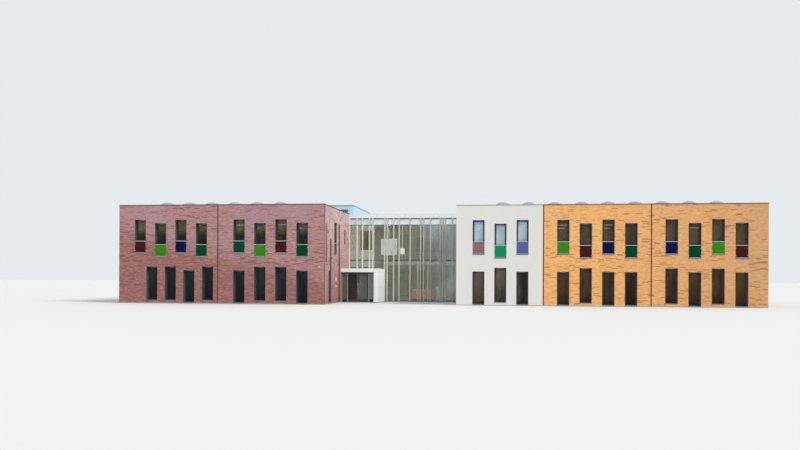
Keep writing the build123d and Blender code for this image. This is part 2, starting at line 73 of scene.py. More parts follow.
def tone(red: int, green: int, blue: int) -> Colour:
    """Turn a colour as a screen shows it into the linear one that shaders take.

    Args:
        red: Red part, 0 to 255.
        green: Green part, 0 to 255.
        blue: Blue part, 0 to 255.

    Returns:
        The linear colour, with an alpha of 1.
    """
    parts = []
    for part in (red, green, blue):
        share = part / 255
        parts.append(share / 12.92 if share <= 0.04045 else ((share + 0.055) / 1.055) ** 2.4)
    return (*parts, 1.0)


def operator(operation: str, turned: bool = False) -> Callable[..., "Value"]:
    """Make a method of Value that adds one Math node.

    Args:
        operation: What the node does with its two sides.
        turned: Whether the value itself is the second side.

    Returns:
        The method.
    """
    def result(value: "Value", other: "Value | float" = 0.0) -> "Value":
        """Add the node and return what it gives."""
        first, second = (other, value) if turned else (value, other)
        return value.paint.node("Math", {"operation": operation}, {0: first, 1: second})
    return result


class Value:
    """A socket of a paint's nodes that takes part in Python expressions."""

    __add__ = operator("ADD")
    __radd__ = operator("ADD", True)
    __sub__ = operator("SUBTRACT")
    __rsub__ = operator("SUBTRACT", True)
    __mul__ = operator("MULTIPLY")
    __truediv__ = operator("DIVIDE")
    __gt__ = operator("GREATER_THAN")
    __lt__ = operator("LESS_THAN")
    __abs__ = operator("ABSOLUTE")
    whole = operator("FLOOR")
    fraction = operator("FRACT")
    sine = operator("SINE")
    larger = operator("MAXIMUM")

    def __init__(self, paint: "Paint", socket: bpy.types.NodeSocket | None) -> None:
        """Keep the socket and the paint whose nodes an expression adds to."""
        self.paint = paint
        self.socket = socket

    def along(self, start: float, length: float) -> "Value":
        """Rise from 0 to 1 over a length from a start, or fall where the length is negative."""
        return ((self - start) / length).clamped()

    def clamped(self) -> "Value":
        """Hold the value between 0 and 1."""
        return self.paint.node("Math", {"operation": "ADD", "use_clamp": True}, {0: self, 1: 0.0})


class Paint:
    """The nodes of a material or world in the making, each one from the method `node`."""

    def __init__(self, owner: bpy.types.Material | bpy.types.World) -> None:
        """Start with the owner's node tree, emptied."""
        owner.use_nodes = True
        self.tree = owner.node_tree
        self.tree.nodes.clear()

    def node(self, kind: str, settings: dict | None = None, inputs: dict | None = None,
             output: int = 0) -> Value:
        """Add a node.

        Args:
            kind: The node's type, without the word ShaderNode.
            settings: Its own options, set before its sockets. `stops` holds a ramp's stops.
            inputs: Values or numbers for its sockets, by name or by place.
            output: The place of the socket that is returned.

        Returns:
            The node's output, without a socket where the node has none.
        """
        made = self.tree.nodes.new("ShaderNode" + kind)
        for key, value in (settings or {}).items():
            if key == "stops":
                self._set_stops(made.color_ramp, value)
            else:
                setattr(made, key, value)
        for key, value in (inputs or {}).items():
            if isinstance(value, Value):
                self.tree.links.new(value.socket, made.inputs[key])
            else:
                made.inputs[key].default_value = value
        return Value(self, made.outputs[output] if made.outputs else None)

    @staticmethod
    def _set_stops(ramp: bpy.types.ColorRamp, stops: list[tuple[float, Colour]]) -> None:
        """Give a ramp its stops, in rising order."""
        while len(ramp.elements) < len(stops):
            ramp.elements.new(1.0)
        for element, (place, colour) in zip(ramp.elements, stops):
            element.position = place
            element.color = colour

    def place(self) -> Value:
        """Where a point is, in the piece's own axes."""
        return self.node("TexCoord", output=3)

    def parts(self, vector: Value) -> tuple[Value, Value, Value]:
        """Split a vector into its X, Y and Z."""
        first = self.node("SeparateXYZ", None, {0: vector})
        sockets = first.socket.node.outputs
        return first, Value(self, sockets[1]), Value(self, sockets[2])

    def join(self, x: "Value | float", y: "Value | float", z: "Value | float") -> Value:
        """Make a vector of three values."""
        return self.node("CombineXYZ", None, {0: x, 1: y, 2: z})

    def stretched(self, vector: Value, shares: tuple[float, float, float]) -> Value:
        """Scale a vector's three parts by a share each."""
        return self.node("VectorMath", {"operation": "MULTIPLY"}, {0: vector, 1: shares})

    def noise(self, vector: Value, scale: float, detail: float = 3.0, rough: float = 0.55) -> Value:
        """Soft random spots, about 0.5 in the middle."""
        sizes = {"Vector": vector, "Scale": scale, "Detail": detail, "Roughness": rough}
        return self.node("TexNoise", None, sizes)

    def spots(self, vector: Value, scale: float, detail: float, gain: float = 2.0, less: float = 0.5
              ) -> Value:
        """Noise made harder by a gain, less a number, and held between 0 and 1."""
        return (self.noise(vector, scale, detail) * gain - less).clamped()

    def outwards(self) -> tuple[Value, Value, Value]:
        """The three parts of the direction that a face turns to."""
        return self.parts(self.node("NewGeometry", output=3))

    def mix(self, factor: "Value | float", first: "Value | Colour", second: "Value | Colour",
            blend: str = "MIX") -> Value:
        """Mix two colours by a factor, in one of the Mix node's ways."""
        return self.node(
            "Mix", {"data_type": "RGBA", "blend_type": blend}, {0: factor, 6: first, 7: second}, 2,
        )

    def scaled(self, vector: Value, factor: "Value | float") -> Value:
        """Make a colour or vector stronger or weaker."""
        return self.node("VectorMath", {"operation": "SCALE"}, {0: vector, 3: factor})

    def within(self, part: Value, low: float, high: float) -> Value:
        """Give 1 where a value lies between two numbers, and 0 elsewhere."""
        return (part > low) * (part < high)

    def ramp(self, factor: Value, stops: list[tuple[float, Colour]]) -> Value:
        """Turn a value into a colour through a ramp's stops."""
        return self.node("ValToRGB", {"stops": stops}, {0: factor})

    def bump(self, height: Value, distance: float, strength: float = 1.0) -> Value:
        """Turn a height from 0 to 1 into a normal, for a relief of that depth."""
        return self.node("Bump", None, {"Height": height, "Distance": distance, "Strength": strength})

    def surface(self, **sockets: "Value | float | Colour") -> Value:
        """The main shader, its sockets named with underscores for spaces."""
        named = {key.replace("_", " "): value for key, value in sockets.items()}
        if "IOR level" in named:
            named["Specular IOR Level"] = named.pop("IOR level")
        return self.node("BsdfPrincipled", None, named)

    def done(self, shader: Value, kind: str = "Material") -> None:
        """Join the shader to the output of that kind."""
        self.node("Output" + kind, None, {"Surface": shader})


class Facing(Enum):
    """The side that a wall turns outwards, with the turn of its own axes about Z, in degrees."""

    FRONT = 0
    RIGHT = 90
    BACK = 180
    LEFT = -90

    @property
    def turn(self) -> Matrix:
        """The turn from a wall's own axes (along, inwards, up) to the frame's."""
        return Matrix.Rotation(math.radians(self.value), 4, "Z")

    @property
    def inwards(self) -> Vector:
        """The direction from the outer face to the inner one."""
        return (self.turn @ Vector((0, 1, 0))).to_3d()


class Finish:
    """What a surface looks like. Each kind says how its shader is made."""

    def shader(self, paint: Paint, depth: Value | None = None) -> Value:
        """Add this finish's nodes to a paint.

        Args:
            paint: The paint to add them to.
            depth: How far behind a wall's outer face a point is, where the finish is a wall's.

        Returns:
            The finish's shader.
        """
        raise NotImplementedError


@dataclass(frozen=True)
class FacingBrick(Finish):
    """Coursed brick in recessed mortar: tones by the brick, the course, the cluster and the height, with
    painted shade in wall recesses and, where asked, painted shade towards the right.
    """

    tones: tuple[tuple[float, Colour], ...]
    mortar: Colour
    burnt: Colour
    burnt_share: float
    burnt_cluster: float
    upper_cast: Colour
    lower_cast: Colour
    cast: float
    bloom: Colour
    bloom_share: float = 0.0
    streak: float = 0.4
    streak_shape: Shape = (0.5, 26.0, 1.0)
    bloom_size: float = 0.45
    burnt_strength: float = 0.8
    grain_size: float = 95.0
    grain_contrast: float = 0.32
    relief: float = 0.003
    # Painted shade in the wall's recesses, multiplied in deeper than recess_from behind the face.
    recess: Colour = (0.24, 0.18, 0.19, 1.0)
    recess_from: float = 0.012
    brick: float = 0.111
    course: float = 0.031
    joint: float = 0.003
    change_height: float = 1.2
    change_length: float = 0.8
    change_slope: float = 0.0
    change_from: float = -4.9
    burnt_band: float = 0.0
    band_height: float = 1.78
    band_reach: float = 0.5
    # Painted shade towards the right, multiplied in from far_from over far_length.
    far_cast: Colour = (1.0, 1.0, 1.0, 1.0)
    far_from: float = 5.9
    far_length: float = 6.3

    def courses(self, paint: Paint, wall: Value, width: float, joint: float, offset: float) -> Value:
        """A random number for each brick of that width, with the mortar's share as second output."""
        sizes = {
            "Vector": wall, "Color1": (0, 0, 0, 1), "Color2": (1, 1, 1, 1), "Mortar": (0, 0, 0, 1),
            "Scale": 1.0, "Mortar Size": joint, "Mortar Smooth": 0.15, "Bias": 0.0,
            "Brick Width": width, "Row Height": self.course,
        }
        return paint.node("TexBrick", {"offset": offset}, sizes)

    def shader(self, paint: Paint, depth: Value | None = None) -> Value:
        """Lay the courses along whichever way the wall runs."""
        place = paint.place()
        x, y, z = paint.parts(place)
        across, _, upwards = paint.outwards()
        along = x + (y - x) * (abs(across) > 0.5)
        height = z + (y - z) * (abs(upwards) > 0.5)
        wall = paint.join(along, height, 0.0)
        single = self.courses(paint, wall, self.brick, self.joint, 0.5)
        mortar = Value(paint, single.socket.node.outputs[1])
        clay = paint.ramp(single, list(self.tones))
        streaks = paint.noise(paint.stretched(wall, self.streak_shape), 1.0, 2.0)
        clay = paint.scaled(clay, 1.0 + (streaks - 0.5) * self.streak)
        # A tone from the foot up: lower_cast below a height that rises towards the left, upper_cast above; on
        # the return wall this paints the light, lighter at the top and shaded at the foot.
        change = (self.change_from - x) * self.change_slope + self.change_height
        rise = ((z - change) / self.change_length + 0.5).clamped()
        cast = paint.mix(rise, self.lower_cast, self.upper_cast)
        clay = paint.mix(self.cast, clay, cast)
        pair = 2 * self.brick
        paired = self.courses(paint, wall, pair, 0.0, 0.25)
        row = (height / self.course).whole()
        even = 1.0 - (row / 2.0).fraction() * 2.0
        column = ((along + even * pair * 0.25) / pair).whole()
        cell = paint.join(column * pair * 0.7, row * self.course * 2.2, 0.0)
        band = (1.0 - abs(z - self.band_height) / self.band_reach).clamped() * self.burnt_band
        share = self.burnt_share + band + (paint.noise(cell, 1.0, 3.0) - 0.5) * self.burnt_cluster
        clay = paint.mix((paired < share) * self.burnt_strength, clay, self.burnt)
        patches = paint.spots(wall, self.bloom_size, 3.0, 5.0, 2.5)
        clay = paint.mix(patches * rise * self.bloom_share, clay, self.bloom)
        # Painted shade: points deeper in the wall than recess_from are darkened, as the shade in slots and
        # reveals.
        if depth is not None:
            clay = paint.mix(depth > self.recess_from, clay, self.recess, "MULTIPLY")
        grain = paint.noise(place, self.grain_size, 3.0, 0.7)
        clay = paint.scaled(clay, 1.0 + (grain - 0.5) * self.grain_contrast)
        colour = paint.mix(mortar, clay, self.mortar)
        # Painted shade: darker and greyer towards the right, from far_from onwards.
        colour = paint.mix(x.along(self.far_from, self.far_length), colour, self.far_cast, "MULTIPLY")
        relief = (1.0 - mortar) * 0.85 + grain * 0.15
        return paint.surface(
            Base_Color=colour, Roughness=0.8 + grain * 0.15, Normal=paint.bump(relief, self.relief, 0.7),
        )


@dataclass(frozen=True)
class Mineral(Finish):
    """A cast or coated mineral surface: render, plaster, concrete, screed, board or felt."""

    colour: Colour
    shaded: Colour
    underside: Colour | None = None
    grain: float = 160.0
    relief: float = 0.0012
    patch: float = 0.8
    streaks: float = 0.0
    streak_shape: Shape = (9.0, 9.0, 0.5)
    pore: Colour = (0.4, 0.4, 0.4, 1.0)
    pore_strength: float = 0.18
    roughness: float = 0.82

    def shader(self, paint: Paint, depth: Value | None = None) -> Value:
        """Cloudy patches, fine grain and, where asked, faint streaks that run down."""
        place = paint.place()
        patches = paint.spots(place, self.patch, 5.0)
        streak = paint.noise(paint.stretched(place, self.streak_shape), 1.0, 3.0)
        blotch = (patches * (1.0 - self.streaks) + streak * self.streaks).clamped()
        colour = paint.mix(blotch, self.shaded, self.colour)
        if self.underside is not None:
            colour = paint.mix(paint.outwards()[2] < -0.5, colour, self.underside)
        grain = paint.noise(place, self.grain, 4.0, 0.65)
        pores = paint.ramp(grain, [(0.3, self.pore), (0.7, (1.0, 1.0, 1.0, 1.0))])
        colour = paint.mix(self.pore_strength, colour, pores, "MULTIPLY")
        return paint.surface(
            Base_Color=colour, Roughness=(self.roughness + grain * 0.15).clamped(),
            Normal=paint.bump(grain, self.relief, 0.6),
        )


@dataclass(frozen=True)
class WallSkin(Finish):
    """A wall's outer finish, with plaster from a certain depth inwards."""

    outer: Finish
    inner: Finish
    facing: Facing
    face: float
    plaster_from: float = 0.172

    def shader(self, paint: Paint, depth: Value | None = None) -> Value:
        """Mix the two finishes by how deep in the wall a point is."""
        inwards = {0: paint.place(), 1: tuple(self.facing.inwards)}
        behind = paint.node("VectorMath", {"operation": "DOT_PRODUCT"}, inwards, 1) - self.face
        shaders = {1: self.outer.shader(paint, behind), 2: self.inner.shader(paint)}
        return paint.node("MixShader", None, {0: behind > self.plaster_from, **shaders})


@dataclass(frozen=True)
class CoatedMetal(Finish):
    """Sheet or section with a baked coating, slightly uneven and dusty."""

    colour: Colour
    dust: Colour
    dusty: float = 0.12
    roughness: float = 0.42
    metallic: float = 0.0
    patch: float = 2.6
    peel: float = 420.0
    run_shape: Shape = (30.0, 30.0, 1.2)

    def shader(self, paint: Paint, depth: Value | None = None) -> Value:
        """Dust in soft patches over a faint orange peel."""
        place = paint.place()
        patches = paint.noise(place, self.patch, 5.0)
        fine = paint.noise(place, self.peel, 2.0)
        runs = paint.noise(paint.stretched(place, self.run_shape), 1.0, 3.0)
        dirt = ((patches * 0.6 + runs * 0.4) * 2.2 - 0.6).clamped() * self.dusty
        colour = paint.mix(dirt, self.colour, self.dust)
        return paint.surface(
            Base_Color=colour, Metallic=self.metallic,
            Roughness=(self.roughness + dirt * 0.6 + fine * 0.06).clamped(),
            Normal=paint.bump(fine, 0.0003, 0.25),
        )


@dataclass(frozen=True)
class BrushedSteel(Finish):
    """Bare steel with fine brush marks along its length."""

    colour: Colour = tone(196, 199, 202)
    dull: Colour = tone(150, 153, 157)
    roughness: float = 0.3
    run: Shape = (500.0, 500.0, 12.0)
    smear: float = 6.0

    def shader(self, paint: Paint, depth: Value | None = None) -> Value:
        """Long thin marks in gloss and relief."""
        place = paint.place()
        marks = paint.noise(paint.stretched(place, self.run), 1.0, 3.0)
        smears = paint.noise(place, self.smear, 3.0)
        colour = paint.mix(marks * 0.25 + smears * 0.15, self.colour, self.dull)
        return paint.surface(
            Base_Color=colour, Metallic=1.0, Roughness=self.roughness + marks * 0.14 + smears * 0.08,
            Normal=paint.bump(marks, 0.0002, 0.3),
        )


@dataclass(frozen=True)
class Glazing(Finish):
    """Glass that shows what is behind it, with a faint film of dust and slight waviness."""

    colour: Colour
    film: Colour
    solid: float
    filmy: float = 0.1
    roughness: float = 0.02
    shine: float = 0.3
    # A paler tint for the white block: painted light for the sky's reflection and the bright room behind.
    pale: Colour | None = None
    mirror: float = 0.0
    mirror_tones: tuple[Colour, Colour] = (tone(236, 240, 244), tone(250, 250, 250))
    cloud: float = 1.3
    speck: float = 60.0
    ripple: float = 1.7
    ripple_depth: float = 0.002
    ripple_strength: float = 0.12

    def shader(self, paint: Paint, depth: Value | None = None) -> Value:
        """Tinted body, film in soft patches and a smooth surface, with a paler tint in the white block that
        paints the sky's reflection and the bright room behind as painted light.
        """
        place = paint.place()
        patches = paint.spots(place, self.cloud, 4.0)
        specks = paint.noise(place, self.speck, 4.0, 0.7)
        film = patches * specks * self.filmy
        body: Value | Colour = self.colour
        # Painted light: in the white block the glass takes the paler tint.
        if self.pale is not None:
            body = paint.mix(self.in_white_block(paint), self.colour, self.pale)
        wave = self.wave(paint)
        smooth = self.roughness + film * 0.5
        glass = paint.surface(
            Base_Color=paint.mix(film, body, self.film), Roughness=smooth, IOR_level=self.shine,
            Alpha=self.solid, Normal=wave,
        )
        return self.mirrored(paint, glass, patches, smooth, wave) if self.mirror else glass

    def mirrored(self, paint: Paint, body: Value, clouds: Value, smooth: Value, wave: Value) -> Value:
        """Mix in a share of plain reflection, which the body's transparency would take away."""
        gloss = paint.surface(
            Base_Color=paint.mix(clouds, *self.mirror_tones), Metallic=1.0, Roughness=smooth, Normal=wave,
        )
        return paint.node("MixShader", None, {0: self.mirror, 1: body, 2: gloss})

    def wave(self, paint: Paint) -> Value:
        """The slight waviness of a pane, as a normal."""
        ripples = paint.noise(paint.place(), self.ripple, 1.0)
        return paint.bump(ripples, self.ripple_depth, self.ripple_strength)

    @staticmethod
    def in_white_block(paint: Paint) -> Value:
        """Give 1 on the front of the white block, and 0 elsewhere."""
        low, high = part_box("white_front_wall")
        x, y, _ = paint.parts(paint.place())
        return paint.within(x, low.x, high.x) * (y < high.y)


@dataclass(frozen=True)
class HallGlazing(Glazing):
    """The hall's large panes, with a painted reflection of the sky that grows towards the right, in the upper
    right corner and low down.
    """

    haze: Colour = tone(200, 216, 228)
    right_from: float = -0.9
    right_length: float = 1.1
    low_from: float = 1.7
    low_length: float = 1.2
    corner_from: float = -1.9
    corner_length: float = 1.6
    corner_foot: float = 2.4
    right_share: float = 0.16
    low_share: float = 0.05
    corner_share: float = 0.16
    cloud_share: float = 0.12
    cloud_shape: Shape = (0.8, 0.8, 1.4)
    mirror: float = 0.045

    def shader(self, paint: Paint, depth: Value | None = None) -> Value:
        """A clear pane with a painted reflection of a cloudy sky, which tints it and makes it less
        see-through.
        """
        place = paint.place()
        x, _, z = paint.parts(place)
        # Painted reflection of the sky: its share grows to the right, in the upper right corner and low down,
        # and soft clouds break it up.
        low = z.along(self.low_from, -self.low_length)
        right = x.along(self.right_from, self.right_length) * (1.0 - low * 0.6)
        clouds = paint.noise(paint.stretched(place, self.cloud_shape), 1.0, 4.0)
        corner = x.along(self.corner_from, self.corner_length) * z.along(self.corner_foot, 1.0)
        haze = right * self.right_share + low * self.low_share + corner * self.corner_share
        haze = haze + (clouds - 0.5) * self.cloud_share
        wave = self.wave(paint)
        smooth = self.roughness + clouds * 0.03
        body = paint.surface(
            Base_Color=paint.mix((right + corner).clamped(), self.colour, self.haze), Roughness=smooth,
            IOR_level=self.shine, Alpha=(haze + self.solid).clamped(), Normal=wave,
        )
        return self.mirrored(paint, body, clouds, smooth, wave)


@dataclass(frozen=True)
class RoomGlass(Glazing):
    """Window glass painted with the shade and light of the rooms behind it, and with a painted reflection of
    the sky in the white block's upper panes: `colour` in the rear wall of the hall.
    """

    upper_west: Fade = (tone(34, 46, 38), tone(80, 74, 50), tone(112, 108, 76))
    upper_east: Fade = (tone(99, 87, 63), tone(101, 87, 62), tone(98, 87, 65))
    west: Fade = (tone(8, 18, 24), tone(16, 32, 38), tone(36, 50, 52))
    east: Fade = (tone(50, 35, 18), tone(82, 58, 33), tone(98, 74, 43))
    # Painted reflection of the sky, in the upper panes of the white block.
    sky: Fade = (tone(226, 248, 255), tone(220, 242, 255), tone(206, 228, 252))
    block: Fade = (tone(70, 64, 60), tone(101, 88, 76), tone(122, 109, 95))
    storey: float = 1.6
    lower_span: Span = (0.05, 1.31)
    upper_span: Span = (2.4, 0.8)
    sky_span: Span = (2.0, 1.2)
    stops: tuple[float, ...] = (0.0, 0.45, 1.0)
    west_stops: tuple[float, ...] = (0.27, 0.45, 0.6)
    broad_shape: Shape = (2.4, 2.4, 0.9)
    small_shape: Shape = (9.0, 9.0, 5.0)
    single_shape: Shape = (1.3, 1.3, 0.0)
    broad_share: float = 0.8
    small_share: float = 0.9
    single_share: float = 2.8
    upper_calm: float = 0.55
    sky_calm: float = 0.3
    dimmest: float = 0.2
    mean: float = 1.05
    lower_solid: float = 0.07
    sky_solid: float = 0.02
    hall_solid: float = 0.32

    def shader(self, paint: Paint, depth: Value | None = None) -> Value:
        """Painted shade and light of the rooms and the painted sky reflection, broken up by soft upright
        shapes, under a smooth surface.
        """
        place = paint.place()
        x, _, z = paint.parts(place)
        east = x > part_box("white_front_wall")[0].x
        west, east_side, block, upper_west, upper_east, sky = (
            paint.ramp(z.along(*span), list(zip(stops, tones))) for span, stops, tones in (
                (self.lower_span, self.stops, self.west), (self.lower_span, self.stops, self.east),
                (self.lower_span, self.stops, self.block),
                (self.upper_span, self.west_stops, self.upper_west),
                (self.upper_span, self.stops, self.upper_east), (self.sky_span, self.stops, self.sky),
            )
        )
        # Each fade paints the shade and light of the rooms behind, mostly darker towards the foot, and `sky`
        # paints the sky's reflection; `light` makes some panes darker or brighter than others.
        white, hall, high = self.in_white_block(paint), self.in_hall_back(paint), z > self.storey
        lower = paint.mix(white, paint.mix(east, west, east_side), block)
        upper = paint.mix(white, paint.mix(east, upper_west, upper_east), sky)
        rooms = paint.mix(hall, paint.mix(high, lower, upper), self.colour)
        broad = paint.spots(paint.stretched(place, self.broad_shape), 1.0, 3.0, 5.0, 2.0)
        small = paint.noise(paint.stretched(place, self.small_shape), 1.0, 3.0)
        single = paint.noise(paint.stretched(place, self.single_shape), 1.0, 1.0)
        contrast = 1.0 - high * self.upper_calm - high * white * self.sky_calm
        uneven = (single - 0.5) * self.single_share + (broad - 0.5) * self.broad_share
        uneven = uneven + (small - 0.5) * self.small_share
        light = (uneven * contrast + (self.mean - self.dimmest)).clamped() + self.dimmest
        rooms = paint.scaled(rooms, light)
        film = paint.spots(place, self.cloud, 4.0) * self.filmy
        added = (1.0 - high) * self.lower_solid + high * white * self.sky_solid + hall * self.hall_solid
        solid = (self.solid + added).clamped()
        return paint.surface(
            Base_Color=paint.mix(film, rooms, self.film), Roughness=self.roughness + film * 0.5,
            IOR_level=self.shine, Alpha=solid, Normal=self.wave(paint),
        )

    @staticmethod
    def in_hall_back(paint: Paint) -> Value:
        """Give 1 in the rear wall of the hall and white block, and 0 elsewhere."""
        low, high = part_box("hall_back_wall")
        x, y, _ = paint.parts(paint.place())
        return paint.within(x, low.x, high.x) * (y > low.y)


@dataclass(frozen=True)
class Timber(Finish):
    """Planed and oiled boards with grain along one axis, and where asked, painted shade that darkens them
    towards the right.
    """

    pale: Colour
    dark: Colour
    run: Shape
    drift: float = 0.16
    roughness: float = 0.5
    dull: float = 0.0
    dull_from: float = -3.4
    dull_length: float = 3.2

    def shader(self, paint: Paint, depth: Value | None = None) -> Value:
        """Long grain lines, broad colour drift, fine pores and the painted shade towards the right."""
        place = paint.place()
        grain = paint.noise(paint.stretched(place, self.run), 1.0, 6.0, 0.65)
        broad = tuple(part * self.drift for part in self.run)
        drift = paint.noise(paint.stretched(place, broad), 1.0, 2.0)
        share = (grain * 0.7 + drift * 0.6 - 0.25).clamped()
        colour = paint.ramp(share, [(0.2, self.dark), (0.5, self.pale), (0.8, self.pale)])
        # Painted shade: darker towards the right, by up to the share `dull`.
        dull = paint.parts(place)[0].along(self.dull_from, self.dull_length) * self.dull
        colour = paint.scaled(colour, 1.0 - dull)
        return paint.surface(
            Base_Color=colour, Roughness=self.roughness + grain * 0.2,
            Normal=paint.bump(grain, 0.0012, 0.5),
        )


@dataclass(frozen=True)
class Upholstery(Finish):
    """Grained cover leather with a soft sheen, rubbed paler where it bulges."""

    colour: Colour
    worn: Colour
    pebble: float = 260.0
    wear: float = 5.0

    def shader(self, paint: Paint, depth: Value | None = None) -> Value:
        """Fine pebble grain and broad wear."""
        place = paint.place()
        pebble = paint.node("TexVoronoi", None, {"Vector": place, "Scale": self.pebble})
        wear = paint.spots(place, self.wear, 4.0, 2.0, 0.6)
        colour = paint.mix(wear * 0.5, self.colour, self.worn)
        return paint.surface(
            Base_Color=colour, Roughness=0.42 + wear * 0.2, Normal=paint.bump(pebble, 0.0012, 0.45),
            Sheen_Weight=0.15,
        )


@dataclass(frozen=True)
class Shade(Finish):
    """A pale woven lamp shade that glows a little."""

    colour: Colour
    glow: float = 0.68
    large_share: float = 0.18
    thread: float = 1500.0
    cloudy: Colour = tone(205, 207, 202)

    def shader(self, paint: Paint, depth: Value | None = None) -> Value:
        """A fine weave of upright and level threads, lit more in the small lamp than in the large."""
        x, y, z = paint.parts(paint.place())
        weave = (z * self.thread).sine() * ((x + y) * self.thread).sine() * 0.5 + 0.5
        cloud = paint.noise(paint.place(), 4.0, 3.0)
        colour = paint.mix((weave * 0.18 + cloud * 0.2).clamped(), self.colour, self.cloudy)
        large, small = solids("hall_pendants")
        lit = paint.mix(x > (large[1].x + small[0].x) / 2, paint.scaled(colour, self.large_share), colour)
        return paint.surface(
            Base_Color=colour, Roughness=0.75 + weave * 0.1, Normal=paint.bump(weave, 0.0008, 0.5),
            Emission_Color=lit, Emission_Strength=self.glow,
        )


@dataclass(frozen=True)
class Glow(Finish):
    """The diffuser of a lamp that is lit."""

    colour: Colour
    strength: float
    rib: float = 900.0
    dim: Colour = tone(225, 228, 228)

    def shader(self, paint: Paint, depth: Value | None = None) -> Value:
        """An opal cover, a little brighter in its middle ribs."""
        ribs = (paint.parts(paint.place())[0] * self.rib).sine() * 0.5 + 0.5
        colour = paint.mix(ribs * 0.15, self.colour, self.dim)
        return paint.surface(
            Base_Color=colour, Roughness=0.4 + ribs * 0.1, Emission_Color=colour,
            Emission_Strength=self.strength,
        )


@dataclass(frozen=True)
class Flooring(Finish):
    """The plain pale ground that the model stands on."""

    colour: Colour = tone(216, 216, 215)
    cloudy: Colour = tone(208, 208, 207)

    def shader(self, paint: Paint, depth: Value | None = None) -> Value:
        """Nearly even, with the faintest cloudiness."""
        cloud = paint.noise(paint.place(), 0.05, 3.0)
        colour = paint.mix(cloud * 0.25, self.colour, self.cloudy)
        return paint.surface(Base_Color=colour, Roughness=0.9)


RED_TONES = (
    (0.0, tone(124, 82, 84)), (0.25, tone(146, 98, 94)), (0.5, tone(158, 106, 98)),
    (0.75, tone(168, 116, 106)), (1.0, tone(190, 138, 126)),
)
YELLOW_TONES = (
    (0.0, tone(214, 148, 82)), (0.3, tone(236, 170, 98)), (0.6, tone(243, 178, 105)),
    (0.85, tone(248, 186, 116)), (1.0, tone(250, 198, 134)),
)
BRICK = FacingBrick(
    RED_TONES, tone(150, 116, 112), burnt=tone(116, 72, 76), burnt_share=0.1, burnt_cluster=0.6,
    upper_cast=tone(208, 168, 174), lower_cast=tone(146, 82, 68), cast=0.32,
    bloom=tone(170, 146, 164), bloom_share=0.6, change_slope=0.22, burnt_band=0.05,
)


